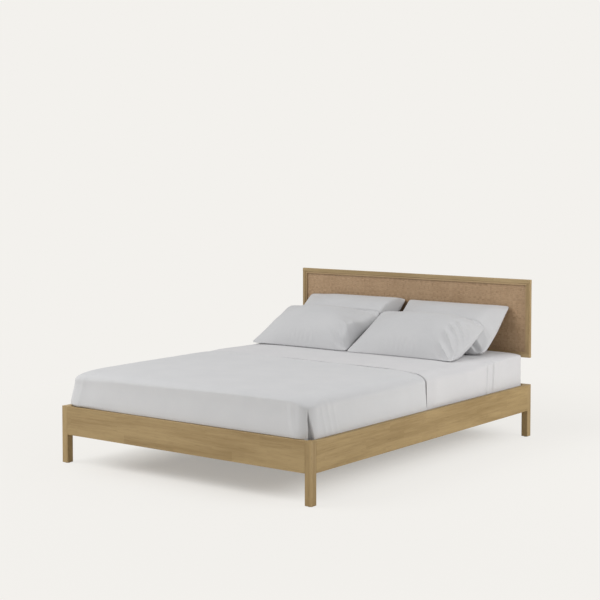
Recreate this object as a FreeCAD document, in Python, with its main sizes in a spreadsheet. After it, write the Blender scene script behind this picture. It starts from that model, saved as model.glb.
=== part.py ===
import FreeCAD, Part

import math
import os
import re

import Sketcher

# Rattan bed, in millimetres. +X is the right side seen from the foot, +Y points to the head, +Z is up.
# The origin is on the floor, under the middle of the whole bed.

# Driving sizes. Every other length is worked out from these.
SIZES = {
    # the mattress that the bed takes, and its room in the frame
    "mattress_width": 1524,
    "mattress_length": 2032,
    "mattress_thickness": 246,
    "mattress_side_gap": 13,
    "mattress_end_gap": 4,
    "mattress_sink": 61,
    "mattress_corner_radius": 60,
    "mattress_base_radius": 20,
    "mattress_edge_run": 80,
    "mattress_edge_drop": 46,
    "mattress_crown": 7,
    # the sheets
    "fitted_sheet_thickness": 1.2,
    "fitted_hem_rise": 30,
    "top_sheet_thickness": 1.6,
    "top_hem_rise": 36,
    "top_sheet_reach": 993,
    "top_sheet_skew_degrees": 3,
    "corner_fold_width": 44,
    "corner_fold_top_drop": 4,
    # the pillows
    "pillow_length": 670,
    "pillow_depth": 426,
    "pillow_thickness": 160,
    "pillow_edge": 9,
    "pillow_rear_apart": 40,
    "pillow_front_apart": 10,
    "pillow_front_shift": 20,
    "pillow_rear_lean_degrees": 38,
    "pillow_front_lean_degrees": 27,
    "soft_gap": 0.4,
    # legs and rails
    "leg_side": 38,
    "leg_height": 296,
    "rail_height": 147,
    "rail_thickness": 25,
    "timber_ease": 1.6,
    # glides under the legs
    "glide_radius": 13,
    "glide_thickness": 3,
    "glide_pin_radius": 1.5,
    "glide_pin_length": 16,
    # ledges, slats and the beam under them
    "ledge_width": 24,
    "ledge_height": 22,
    "ledge_end_gap": 2,
    "slat_width": 100,
    "slat_thickness": 18,
    "slat_side_gap": 2,
    "slat_end_gap": 6,
    "beam_width": 60,
    "beam_height": 60,
    "beam_end_gap": 1,
    # stirrups at the beam's ends
    "stirrup_plate": 2.5,
    "stirrup_depth": 42,
    "stirrup_height": 48,
    "stirrup_flange": 22,
    "stirrup_side_gap": 0.5,
    # centre legs with their studs, threaded inserts and levelling screws
    "centre_leg_side": 44,
    "centre_leg_spacing": 700,
    "stud_radius": 4,
    "stud_length": 60,
    "insert_flange_radius": 11,
    "insert_flange_thickness": 1.5,
    "insert_barrel_radius": 5.5,
    "insert_barrel_length": 16,
    "levelling_foot_radius": 16,
    "levelling_foot_height": 10,
    "levelling_stem_radius": 4,
    "levelling_stem_length": 34,
    "levelling_thread_gap": 0.06,
    "levelling_top_gap": 4,
    # steel corner plates and their bolts
    "corner_plate_thickness": 2.5,
    "corner_plate_span": 56,
    "corner_plate_flange": 24,
    "corner_plate_height": 36,
    "corner_plate_drop": 2,
    "corner_bolt_radius": 3,
    "corner_bolt_head_radius": 5.5,
    "corner_bolt_head_height": 4,
    "corner_bolt_bite": 28,
    "corner_bolt_spacing": 18,
    # screws
    "plate_screw_radius": 2.2,
    "plate_screw_length": 18,
    "plate_screw_head_radius": 4.2,
    "plate_screw_head_height": 2.2,
    "wood_screw_radius": 2.2,
    "wood_screw_head_radius": 4.4,
    "wood_screw_head_height": 3,
    "ledge_screw_length": 40,
    "slat_screw_bite": 9,
    "headboard_screw_length": 30,
    # headboard
    "headboard_rise": 152,
    "headboard_height": 442,
    "headboard_thickness": 20,
    "headboard_member_face": 22,
    "bead_face": 10,
    "bead_depth": 6,
    "bead_setback": 3,
    "bead_ease": 0.8,
    "rattan_thickness": 3,
    "panel_side_gap": 0.5,
    # struts behind the headboard, with bolts and nuts
    "strut_width": 60,
    "strut_thickness": 18,
    "strut_spacing": 960,
    "strut_rise": 10,
    "strut_top_gap": 4,
    "strut_screw_spacing": 36,
    "strut_bolt_radius": 4,
    "strut_bolt_head_radius": 8,
    "strut_bolt_head_height": 3,
    "strut_bolt_margin": 18,
    "strut_bolt_tail": 2,
    "strut_nut_radius": 7.5,
    "strut_nut_height": 6.5,
    # how far a cutting tool runs past what it cuts
    "overrun": 20,
}

# Worked-out places and sizes, as formulas of the sizes above and of each other.
LAYOUT = {
    "bed_width": "mattress_width + 2 * (mattress_side_gap + rail_thickness)",
    "bed_length": "mattress_length + 2 * (mattress_end_gap + rail_thickness)",
    "right_x": "bed_width / 2",
    "inner_x": "right_x - rail_thickness",
    "foot_y": "-(bed_length + strut_thickness) / 2",
    "head_y": "foot_y + bed_length",
    "middle_y": "foot_y + bed_length / 2",
    "foot_inner_y": "foot_y + rail_thickness",
    "head_inner_y": "head_y - rail_thickness",
    "rail_bottom": "leg_height - rail_height",
    "end_rail_length": "bed_width - 2 * leg_side",
    "side_rail_length": "bed_length - 2 * leg_side",
    "slat_top": "leg_height - mattress_sink",
    "ledge_top": "slat_top - slat_thickness",
    "ledge_bottom": "ledge_top - ledge_height",
    "ledge_length": "side_rail_length - 2 * ledge_end_gap",
    "slat_length": "2 * (inner_x - slat_side_gap)",
    "slat_run": "side_rail_length - 2 * slat_end_gap - slat_width",
    "beam_bottom": "ledge_top - beam_height",
    "beam_length": "bed_length - 2 * (rail_thickness + stirrup_plate + beam_end_gap)",
    "centre_leg_bottom": "levelling_foot_height + insert_flange_thickness",
    "corner_plate_top": "ledge_bottom - corner_plate_drop",
    "corner_bolt_seat": "corner_plate_span / sqrt(2) + corner_plate_thickness",
    "corner_bolt_length": "corner_bolt_seat - (leg_side - rail_thickness) * sqrt(2) + corner_bolt_bite",
    "headboard_bottom": "leg_height + headboard_rise",
    "headboard_top": "headboard_bottom + headboard_height",
    "headboard_front_y": "head_y - headboard_thickness",
    "opening_width": "bed_width - 2 * headboard_member_face",
    "opening_height": "headboard_height - 2 * headboard_member_face",
    "rattan_front_y": "headboard_front_y + bead_setback + bead_depth",
    "panel_front_y": "rattan_front_y + rattan_thickness",
    "strut_bottom": "rail_bottom + strut_rise",
    "strut_back_y": "head_y + strut_thickness",
    "mattress_top": "slat_top + mattress_thickness",
    "pillow_floor": "mattress_top + fitted_sheet_thickness + soft_gap",
    "pillow_back_y": "headboard_front_y - soft_gap",
}

# Angles in degrees, counts, and shares of the sizes that they follow.
QUARTER_TURN = 90
THIRD_TURN = 120
SLAT_COUNT = 12
LEDGE_SCREW_COUNT = 8
BASE_STEPS = 3
EDGE_STEPS = 6
CROWN_STEPS = 3
PILLOW_STATIONS = 14
CROWN_RUN_SHARE = 0.12
CORNER_SWELL_SHARE = 0.7
PILLOW_DRAW_SHARE = 0.06
PILLOW_FULLNESS_SHARE = 0.8
PLATE_SCREW_SHARE = 0.25
LEDGE_SCREW_SHARE = 0.28

doc = FreeCAD.newDocument("rattan_bed")
nodes = []


def make_sheet(name, cells):
    """A spreadsheet with one named cell on each row."""
    sheet = doc.addObject("Spreadsheet::Sheet", name)
    for row, (alias, content) in enumerate(cells.items(), start=1):
        sheet.set(f"A{row}", alias)
        sheet.set(f"B{row}", content)
        sheet.setAlias(f"B{row}", alias)
    doc.recompute()
    return sheet


def led(text, aliases, sheet):
    """The expression with every alias of a sheet led by that sheet's name."""
    return re.sub(r"[a-z_]+", lambda word: f"{sheet}.{word[0]}" if word[0] in aliases else word[0], text)


def full(text):
    """The expression as an object outside both sheets reads it."""
    return led(led(text, SIZES, "sizes"), LAYOUT, "layout")


sizes = make_sheet("sizes", {alias: str(number) for alias, number in SIZES.items()})
layout = make_sheet("layout", {alias: "=" + led(text, SIZES, "sizes") for alias, text in LAYOUT.items()})


def num(text):
    """The present value of an expression."""
    return float(layout.evalExpression(full(text)))


def bind(obj, **expressions):
    """Ties properties of an object to expressions of the sizes."""
    for prop, text in expressions.items():
        obj.setExpression(prop, full(text))


def put(obj, x="0", y="0", z="0"):
    """Ties an object's place to expressions of the sizes."""
    for axis, text in zip("xyz", (x, y, z)):
        obj.setExpression(f"Placement.Base.{axis}", full(text))
    return obj


def node(obj):
    """Marks an object as one of the bed's pieces, named by its Label."""
    nodes.append(obj)
    return obj


def box(name, size, corner):
    """A block given by its extent and its lowest corner on X, Y and Z."""
    block = doc.addObject("Part::Box", name)
    bind(block, Length=size[0], Width=size[1], Height=size[2])
    return put(block, *corner)


def rod(name, radius, height, z="0"):
    """A cylinder on the Z axis, from z upwards."""
    cylinder = doc.addObject("Part::Cylinder", name)
    bind(cylinder, Radius=radius, Height=height)
    return put(cylinder, z=z)


def hexagon(name, radius, height, z="0"):
    """A six-sided prism on the Z axis, from z upwards."""
    prism = doc.addObject("Part::Prism", name)
    prism.Polygon = 6
    bind(prism, Circumradius=radius, Height=height)
    return put(prism, z=z)


def fuse(name, first, second):
    """One solid made of two."""
    joined = doc.addObject("Part::Fuse", name)
    joined.Base = first
    joined.Tool = second
    return joined


def cut(name, base, *tools):
    """What is left of a solid, or of a group of solids, once the tools are taken out of it."""
    for place, tool in enumerate(tools, start=1):
        rest = doc.addObject("Part::Cut", name if place == len(tools) else f"{name}_cut_{place}")
        rest.Base = base
        rest.Tool = tool
        base = rest
    return base


def solid(name, shape):
    """A piece whose shape is worked out in code."""
    feature = doc.addObject("Part::Feature", name)
    feature.Shape = shape
    return feature


def group(name, pattern, placements):
    """Identical copies of one piece, as separate solids under one name."""
    doc.recompute()
    copies = []
    for placement in placements:
        copy = pattern.Shape.copy()
        copy.Placement = placement.multiply(pattern.Placement)
        copies.append(copy)
    return solid(name, Part.makeCompound(copies))


def facing(x, y, z, direction):
    """A placement that stands a fastener at a point and points it along a direction."""
    turn = FreeCAD.Rotation(FreeCAD.Vector(0, 0, 1), FreeCAD.Vector(*direction))
    return FreeCAD.Placement(FreeCAD.Vector(x, y, z), turn)


def eased_section(sketch, width, depth, ease):
    """A rectangle from the sketch's origin with four round corners."""
    w, d, r = num(width), num(depth), num(ease)
    up = FreeCAD.Vector(0, 0, 1)
    quarter = math.pi / 2

    def line(x1, y1, x2, y2):
        return Part.LineSegment(FreeCAD.Vector(x1, y1, 0), FreeCAD.Vector(x2, y2, 0))

    def corner(x, y, turns):
        circle = Part.Circle(FreeCAD.Vector(x, y, 0), up, r)
        return Part.ArcOfCircle(circle, turns * quarter, (turns + 1) * quarter)

    sides = [line(r, 0, w - r, 0), line(w, r, w, d - r), line(w - r, d, r, d), line(0, d - r, 0, r)]
    corners = [corner(w - r, r, 3), corner(w - r, d - r, 0), corner(r, d - r, 1), corner(r, r, 2)]
    sketch.addGeometry(sides + corners, False)
    start, end = 1, 2
    for side in range(4):
        arc = side + 4
        sketch.addConstraint(Sketcher.Constraint("Tangent", side, end, arc, start))
        sketch.addConstraint(Sketcher.Constraint("Tangent", arc, end, (side + 1) % 4, start))
        level = "Horizontal" if side % 2 == 0 else "Vertical"
        sketch.addConstraint(Sketcher.Constraint(level, side))
    for arc in (5, 6, 7):
        sketch.addConstraint(Sketcher.Constraint("Equal", 4, arc))
    sketch.addConstraint(Sketcher.Constraint("PointOnObject", 3, start, -2))
    sketch.addConstraint(Sketcher.Constraint("PointOnObject", 0, start, -1))
    for name, constraint in (
        ("ease", Sketcher.Constraint("Radius", 4, r)),
        ("width", Sketcher.Constraint("DistanceX", 3, start, 1, start, w)),
        ("depth", Sketcher.Constraint("DistanceY", 0, start, 2, start, d)),
    ):
        sketch.renameConstraint(sketch.addConstraint(constraint), name)
    for name, text in (("ease", ease), ("width", width), ("depth", depth)):
        sketch.setExpression(f"Constraints.{name}", full(text))


def origin_plane(body, role):
    """One of a body's own origin planes."""
    return next(f for f in body.Origin.OriginFeatures if f.Role == role)


def flat_sketch(body, name):
    """An empty sketch on a body's XY plane."""
    sketch = body.newObject("Sketcher::SketchObject", name)
    sketch.AttachmentSupport = [(origin_plane(body, "XY_Plane"), "")]
    sketch.MapMode = "FlatFace"
    return sketch


def lying(along):
    """The turn that lays a bar drawn along Z on an axis, and which extents make its section and length."""
    turns = "ZXY".index(along)
    turn = FreeCAD.Rotation(FreeCAD.Vector(1, 1, 1), THIRD_TURN * turns)
    return turn, [(axis + turns) % 3 for axis in range(3)]


def timber(name, along, size, corner, ease="timber_ease"):
    """A straight bar with eased long edges, given by its extent and its lowest corner on X, Y and Z."""
    turn, (across, over, length) = lying(along)
    body = doc.addObject("PartDesign::Body", name)
    sketch = flat_sketch(body, f"{name}_section")
    eased_section(sketch, size[across], size[over], ease)
    pad = body.newObject("PartDesign::Pad", f"{name}_pad")
    pad.Profile = sketch
    bind(pad, Length=size[length])
    body.Placement = FreeCAD.Placement(FreeCAD.Vector(), turn)
    return put(body, *corner)


def signed(sign, text):
    """An expression, or its negative."""
    return text if sign > 0 else f"-({text})"


# Fasteners. Each pattern points along +Z with its seat at the origin.
def countersunk_screw(name, length):
    """A wood screw with a cone head that sits flush."""
    head = doc.addObject("Part::Cone", f"{name}_head")
    bind(head, Radius1="wood_screw_head_radius", Radius2="wood_screw_radius", Height="wood_screw_head_height")
    return fuse(name, head, rod(f"{name}_shank", "wood_screw_radius", length))


def make_ledge_screws():
    """Screws through each ledge into its side rail, evenly along it and below the slat screws' tips."""
    pattern = countersunk_screw("ledge_screw_pattern", "ledge_screw_length")
    z = num("ledge_bottom") + num("ledge_height") * LEDGE_SCREW_SHARE
    x = num("inner_x - ledge_width")
    pitch = num("ledge_length") / LEDGE_SCREW_COUNT
    start = num("foot_y + leg_side + ledge_end_gap") + pitch / 2
    spots = [(side, start + pitch * k) for side in (-1, 1) for k in range(LEDGE_SCREW_COUNT)]
    return node(group("ledge_screws", pattern, [facing(side * x, y, z, (side, 0, 0)) for side, y in spots]))


def slat_y(place):
    """Expression of the foot-side edge of a slat, counted from 0 at the foot."""
    return f"foot_y + leg_side + slat_end_gap + slat_run * {place} / {SLAT_COUNT - 1}"


def make_slat_screws():
    """One screw at each end of every slat, down into the ledge."""
    pattern = countersunk_screw("slat_screw_pattern", "slat_thickness + slat_screw_bite")
    x = num("inner_x - ledge_width / 2")
    z = num("slat_top")
    rows = [num(slat_y(place)) + num("slat_width / 2") for place in range(SLAT_COUNT)]
    places = [facing(side * x, y, z, (0, 0, -1)) for side in (-1, 1) for y in rows]
    return node(group("slat_screws", pattern, places))


def make_headboard_screws():
    """Screws through the struts into the headboard's top and bottom rails."""
    pattern = countersunk_screw("headboard_screw_pattern", "headboard_screw_length")
    half = num("headboard_member_face / 2")
    heights = (num("headboard_bottom") + half, num("headboard_top") - half)
    reach = num("strut_screw_spacing / 2")
    y = num("strut_back_y")
    places = []
    for side in (-1, 1):
        for offset in (-reach, reach):
            x = side * num("strut_spacing / 2") + offset
            places += [facing(x, y, z, (0, -1, 0)) for z in heights]
    return node(group("headboard_screws", pattern, places))


def corner_placements():
    """A frame at each inner corner of the rails: X along one rail's inner face, Y along the other's."""
    x, foot, head = num("inner_x"), num("foot_inner_y"), num("head_inner_y")
    z = num("corner_plate_top - corner_plate_height")
    up = FreeCAD.Vector(0, 0, 1)
    corners = ((-x, foot), (x, foot), (x, head), (-x, head))
    return [FreeCAD.Placement(FreeCAD.Vector(a, b, z), FreeCAD.Rotation(up, QUARTER_TURN * turns))
            for turns, (a, b) in enumerate(corners)]


def make_corner_bolts():
    """Hexagon-head bolts through the corner plates, on the diagonal, into the legs' inner corners."""
    head = hexagon("corner_bolt_head", "corner_bolt_head_radius", "corner_bolt_head_height",
                   "-corner_bolt_head_height")
    shank = rod("corner_bolt_shank", "corner_bolt_radius", "corner_bolt_length")
    pattern = fuse("corner_bolt_pattern", head, shank)
    seat = num("corner_bolt_seat") / math.sqrt(2)
    middle, reach = num("corner_plate_height / 2"), num("corner_bolt_spacing / 2")
    places = []
    for corner in corner_placements():
        for z in (middle - reach, middle + reach):
            places.append(corner.multiply(facing(seat, seat, z, (-1, -1, 0))))
    return node(group("corner_bolts", pattern, places))


def make_plate_screws():
    """Round-head screws that hold the corner plates and the stirrups to the rails."""
    head = rod("plate_screw_head", "plate_screw_head_radius", "plate_screw_head_height",
               "-plate_screw_head_height")
    pattern = fuse("plate_screw_pattern", head, rod("plate_screw_shank", "plate_screw_radius",
                                                    "plate_screw_length"))
    along = num("corner_plate_span + corner_plate_flange / 2")
    face = num("corner_plate_thickness")
    tall = num("corner_plate_height")
    places = []
    for corner in corner_placements():
        for z in (tall * PLATE_SCREW_SHARE, tall * (1 - PLATE_SCREW_SHARE)):
            places.append(corner.multiply(facing(along, face, z, (0, -1, 0))))
            places.append(corner.multiply(facing(face, along, z, (-1, 0, 0))))
    x = num("beam_width / 2 + stirrup_side_gap + stirrup_plate + stirrup_flange / 2")
    low, rise = num("beam_bottom"), num("stirrup_height")
    for end in (-1, 1):
        y = num("foot_inner_y + stirrup_plate") if end < 0 else num("head_inner_y - stirrup_plate")
        for side in (-1, 1):
            for z in (low + rise * PLATE_SCREW_SHARE, low + rise * (1 - PLATE_SCREW_SHARE)):
                places.append(facing(side * x, y, z, (0, end, 0)))
    return node(group("plate_screws", pattern, places))


def strut_bolt_spots():
    """X and Z of the bolts through the struts and the head rail, all below the slats."""
    heights = (num("strut_bottom + strut_bolt_margin"), num("ledge_top - strut_bolt_margin"))
    return [(side * num("strut_spacing / 2"), z) for side in (-1, 1) for z in heights]


def make_strut_bolts():
    """Flat-head bolts, let in flush, through the struts and the head rail."""
    head = rod("strut_bolt_head", "strut_bolt_head_radius", "strut_bolt_head_height")
    shank = rod("strut_bolt_shank", "strut_bolt_radius",
                "strut_thickness + rail_thickness + strut_nut_height + strut_bolt_tail")
    pattern = fuse("strut_bolt_pattern", head, shank)
    y = num("strut_back_y")
    return node(group("strut_bolts", pattern, [facing(x, y, z, (0, -1, 0)) for x, z in strut_bolt_spots()]))


def make_strut_nuts():
    """Nuts on the strut bolts, against the head rail's inner face."""
    blank = hexagon("strut_nut_blank", "strut_nut_radius", "strut_nut_height")
    pattern = cut("strut_nut_pattern", blank, rod("strut_nut_bore", "strut_bolt_radius", "strut_nut_height"))
    y = num("head_inner_y")
    return node(group("strut_nuts", pattern, [facing(x, y, z, (0, -1, 0)) for x, z in strut_bolt_spots()]))


def leg_corners():
    """Name, side sign and end sign of each leg."""
    ends = (("foot", -1), ("head", 1))
    sides = (("left", -1), ("right", 1))
    return [(f"{end}_{side}", sx, sy) for end, sy in ends for side, sx in sides]


def make_leg_glides():
    """A round glide with its pin under each leg."""
    disc = rod("glide_disc", "glide_radius", "glide_thickness")
    pattern = fuse("glide_pattern", disc, rod("glide_pin", "glide_pin_radius", "glide_pin_length",
                                              "glide_thickness"))
    inset = num("leg_side / 2")
    x = num("right_x") - inset
    rows = {-1: num("foot_y") + inset, 1: num("head_y") - inset}
    places = [facing(sx * x, rows[sy], 0, (0, 0, 1)) for _, sx, sy in leg_corners()]
    return node(group("leg_glides", pattern, places))


# The frame: legs, rails, ledges, slats.
def make_legs(corner_bolts, leg_glides):
    """Square legs at the four corners, bored for the corner bolts and the glide pins."""
    for name, sx, sy in leg_corners():
        x = "right_x - leg_side" if sx > 0 else "-right_x"
        y = "head_y - leg_side" if sy > 0 else "foot_y"
        size = ("leg_side", "leg_side", "leg_height - glide_thickness")
        blank = timber(f"leg_{name}_blank", "Z", size, (x, y, "glide_thickness"))
        node(cut(f"leg_{name}", blank, corner_bolts, leg_glides))


def make_rails(plate_screws, ledge_screws, strut_bolts):
    """Rails between the legs, outer faces and tops flush with them."""
    end_size = ("end_rail_length", "rail_thickness", "rail_height")
    end_x = "leg_side - right_x"
    foot = timber("foot_rail_blank", "X", end_size, (end_x, "foot_y", "rail_bottom"))
    node(cut("foot_rail", foot, plate_screws))
    head = timber("head_rail_blank", "X", end_size, (end_x, "head_inner_y", "rail_bottom"))
    node(cut("head_rail", head, plate_screws, strut_bolts))
    side_size = ("rail_thickness", "side_rail_length", "rail_height")
    for side, x in (("left", "-right_x"), ("right", "inner_x")):
        blank = timber(f"side_rail_{side}_blank", "Y", side_size, (x, "foot_y + leg_side", "rail_bottom"))
        node(cut(f"side_rail_{side}", blank, plate_screws, ledge_screws))


def make_ledges(ledge_screws, slat_screws):
    """A ledge inside each side rail, which carries the slats' ends."""
    size = ("ledge_width", "ledge_length", "ledge_height")
    for side, x in (("left", "-inner_x"), ("right", "inner_x - ledge_width")):
        corner = (x, "foot_y + leg_side + ledge_end_gap", "ledge_bottom")
        blank = timber(f"ledge_{side}_blank", "Y", size, corner)
        node(cut(f"ledge_{side}", blank, ledge_screws, slat_screws))


def make_slats(slat_screws):
    """Slats across the bed from ledge to ledge, evenly from foot to head."""
    size = ("slat_length", "slat_width", "slat_thickness")
    for place in range(SLAT_COUNT):
        name = f"slat_{place + 1:02d}"
        blank = timber(f"{name}_blank", "X", size, ("slat_side_gap - inner_x", slat_y(place), "ledge_top"))
        node(cut(name, blank, slat_screws))


# The centre beam with what holds it up.
def centre_leg_rows():
    """Name and middle of each centre leg along the bed."""
    half = "centre_leg_spacing / 2"
    return ("foot_end", f"middle_y - {half}"), ("head_end", f"middle_y + {half}")


def make_centre_leg_studs():
    """Studs that join the centre legs to the beam, half in each."""
    pattern = rod("centre_leg_stud_pattern", "stud_radius", "stud_length", "-stud_length / 2")
    z = num("beam_bottom")
    places = [facing(0, num(y), z, (0, 0, 1)) for _, y in centre_leg_rows()]
    return node(group("centre_leg_studs", pattern, places))


def make_threaded_inserts():
    """Flanged inserts in the feet of the centre legs, and the bore that each leg needs for its insert."""
    flange = rod("insert_flange", "insert_flange_radius", "insert_flange_thickness", "levelling_foot_height")
    barrel = rod("insert_barrel", "insert_barrel_radius", "insert_flange_thickness + insert_barrel_length",
                 "levelling_foot_height")
    blank = fuse("insert_blank", flange, barrel)
    bore = rod("insert_bore", "levelling_stem_radius + levelling_thread_gap",
               "levelling_stem_length + levelling_top_gap", "levelling_foot_height")
    pattern = cut("insert_pattern", blank, bore)
    places = [facing(0, num(y), 0, (0, 0, 1)) for _, y in centre_leg_rows()]
    leg_bore = group("centre_leg_bores", fuse("centre_leg_bore_pattern", blank, bore), places)
    return node(group("threaded_inserts", pattern, places)), leg_bore


def make_beam(studs):
    """A beam along the middle of the bed, under the slats."""
    size = ("beam_width", "beam_length", "beam_height")
    corner = ("-beam_width / 2", "foot_inner_y + stirrup_plate + beam_end_gap", "beam_bottom")
    node(cut("centre_beam", timber("centre_beam_blank", "Y", size, corner), studs))


def make_stirrups(plate_screws):
    """Steel stirrups on the foot and head rails: a flanged back plate, a seat and two cheeks."""
    wide = "beam_width + 2 * (stirrup_side_gap + stirrup_plate)"
    tall = "stirrup_height + stirrup_plate"
    low = "beam_bottom - stirrup_plate"
    back = box("stirrup_back", (f"{wide} + 2 * stirrup_flange", "stirrup_plate", tall),
               (f"-({wide}) / 2 - stirrup_flange", "foot_inner_y", low))
    shell = box("stirrup_shell", (wide, "stirrup_depth", tall), (f"-({wide}) / 2", "foot_inner_y", low))
    room = box("stirrup_room", ("beam_width + 2 * stirrup_side_gap", "stirrup_depth + overrun",
                                "stirrup_height + overrun"),
               ("-beam_width / 2 - stirrup_side_gap", "foot_inner_y + stirrup_plate", "beam_bottom"))
    pattern = fuse("stirrup_pattern", back, cut("stirrup_tray", shell, room))
    middle = FreeCAD.Vector(0, num("middle_y"), 0)
    about = FreeCAD.Rotation(FreeCAD.Vector(0, 0, 1), 2 * QUARTER_TURN)
    half_turn = FreeCAD.Placement(FreeCAD.Vector(), about, middle)
    pair = group("stirrup_pair", pattern, [FreeCAD.Placement(), half_turn])
    node(cut("beam_stirrups", pair, plate_screws))


def make_centre_legs(studs, leg_bores):
    """Square centre legs between the beam and the levelling screws."""
    side = "centre_leg_side"
    for name, y in centre_leg_rows():
        size = (side, side, "beam_bottom - centre_leg_bottom")
        corner = (f"-{side} / 2", f"{y} - {side} / 2", "centre_leg_bottom")
        blank = timber(f"centre_leg_{name}_blank", "Z", size, corner)
        node(cut(f"centre_leg_{name}", blank, studs, leg_bores))


def make_levelling_screws():
    """A round foot with a threaded stem under each centre leg, turned fully in."""
    for name, y in centre_leg_rows():
        label = f"levelling_screw_{name}"
        disc = rod(f"{label}_disc", "levelling_foot_radius", "levelling_foot_height")
        stem = rod(f"{label}_stem", "levelling_stem_radius", "levelling_foot_height + levelling_stem_length")
        node(put(fuse(label, disc, stem), y=y))


def make_corner_plates(corner_bolts, plate_screws):
    """Bent steel plates across the inner corners: a diagonal web with a flange on each rail."""
    body = doc.addObject("PartDesign::Body", "corner_plate_pattern")
    sketch = flat_sketch(body, "corner_plate_outline")
    span, thick = "corner_plate_span", "corner_plate_thickness"
    bend, tip = f"{span} + {thick} * (sqrt(2) - 1)", f"{span} + corner_plate_flange"
    outline = ((span, "0"), (tip, "0"), (tip, thick), (bend, thick),
               (thick, bend), (thick, tip), ("0", tip), ("0", span))
    points = [FreeCAD.Vector(num(x), num(y), 0) for x, y in outline]
    last = len(points)
    for k in range(last):
        sketch.addGeometry(Part.LineSegment(points[k], points[(k + 1) % last]), False)
    start, end = 1, 2
    for k in range(last):
        sketch.addConstraint(Sketcher.Constraint("Coincident", k, end, (k + 1) % last, start))
    axis_lines = {"X": -2, "Y": -1}
    for k, place in enumerate(outline):
        for axis, text in zip("XY", place):
            if text == "0":
                sketch.addConstraint(Sketcher.Constraint("PointOnObject", k, start, axis_lines[axis]))
                continue
            constraint = Sketcher.Constraint(f"Distance{axis}", -1, start, k, start, num(text))
            name = f"point_{k}_{axis.lower()}"
            sketch.renameConstraint(sketch.addConstraint(constraint), name)
            sketch.setExpression(f"Constraints.{name}", full(text))
    pad = body.newObject("PartDesign::Pad", "corner_plate_pad")
    pad.Profile = sketch
    bind(pad, Length="corner_plate_height")
    plates = group("corner_plate_blanks", body, corner_placements())
    node(cut("corner_plates", plates, corner_bolts, plate_screws))


# The headboard.
def make_headboard(headboard_screws):
    """Top and bottom rails over the full width, with stiles between them."""
    face, y = "headboard_member_face", "headboard_front_y"
    long_size = ("bed_width", "headboard_thickness", face)
    for name, z in (("bottom", "headboard_bottom"), ("top", f"headboard_top - {face}")):
        blank = timber(f"headboard_{name}_rail_blank", "X", long_size, ("-right_x", y, z))
        node(cut(f"headboard_{name}_rail", blank, headboard_screws))
    tall_size = (face, "headboard_thickness", "opening_height")
    for name, x in (("left", "-right_x"), ("right", f"right_x - {face}")):
        node(timber(f"headboard_{name}_stile", "Z", tall_size, (x, y, f"headboard_bottom + {face}")))


def make_beads():
    """Narrow beads round the opening, set back from the headboard's face, that hold the rattan."""
    y = "headboard_front_y + bead_setback"
    low, high = "headboard_bottom + headboard_member_face", "headboard_top - headboard_member_face"
    long_size = ("opening_width", "bead_depth", "bead_face")
    for name, z in (("bottom", low), ("top", f"{high} - bead_face")):
        node(timber(f"bead_{name}", "X", long_size, ("-opening_width / 2", y, z), "bead_ease"))
    tall_size = ("bead_face", "bead_depth", "opening_height - 2 * bead_face")
    for name, x in (("left", "-opening_width / 2"), ("right", "opening_width / 2 - bead_face")):
        node(timber(f"bead_{name}", "Z", tall_size, (x, y, f"{low} + bead_face"), "bead_ease"))


def make_panels():
    """The woven rattan sheet behind the beads, and the back panel that stiffens it."""
    wide = "opening_width - 2 * panel_side_gap"
    tall = "opening_height - 2 * panel_side_gap"
    x, z = f"-({wide}) / 2", "headboard_bottom + headboard_member_face + panel_side_gap"
    node(box("rattan_panel", (wide, "rattan_thickness", tall), (x, "rattan_front_y", z)))
    node(box("back_panel", (wide, "head_y - panel_front_y", tall), (x, "panel_front_y", z)))


def make_struts(strut_bolts, headboard_screws):
    """Flat struts behind the head rail and the headboard, which hold the headboard up."""
    size = ("strut_width", "strut_thickness", "headboard_top - strut_top_gap - strut_bottom")
    for side, sign in (("left", -1), ("right", 1)):
        x = f"{signed(sign, 'strut_spacing / 2')} - strut_width / 2"
        blank = timber(f"strut_{side}_blank", "Z", size, (x, "head_y", "strut_bottom"))
        node(cut(f"strut_{side}", blank, strut_bolts, headboard_screws))


# Soft pieces, lofted through outlines of lines and arcs.
def round_outline(half_x, half_y, radius, z):
    """A rectangle with round corners at a height, about the middle of the frame."""
    middle = num("middle_y")
    bend = radius * (1 - math.sqrt(0.5))
    edges = []
    quarters = ((1, -1), (1, 1), (-1, 1), (-1, -1))

    def ends(sx, sy):
        along = FreeCAD.Vector(sx * half_x, middle + sy * (half_y - radius), z)
        across = FreeCAD.Vector(sx * (half_x - radius), middle + sy * half_y, z)
        return (across, along) if sx * sy < 0 else (along, across)

    for k, (sx, sy) in enumerate(quarters):
        first, second = ends(sx, sy)
        corner = FreeCAD.Vector(sx * (half_x - bend), middle + sy * (half_y - bend), z)
        edges.append(Part.Arc(first, corner, second).toShape())
        edges.append(Part.LineSegment(second, ends(*quarters[(k + 1) % 4])[0]).toShape())
    return Part.Wire(edges)


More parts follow.
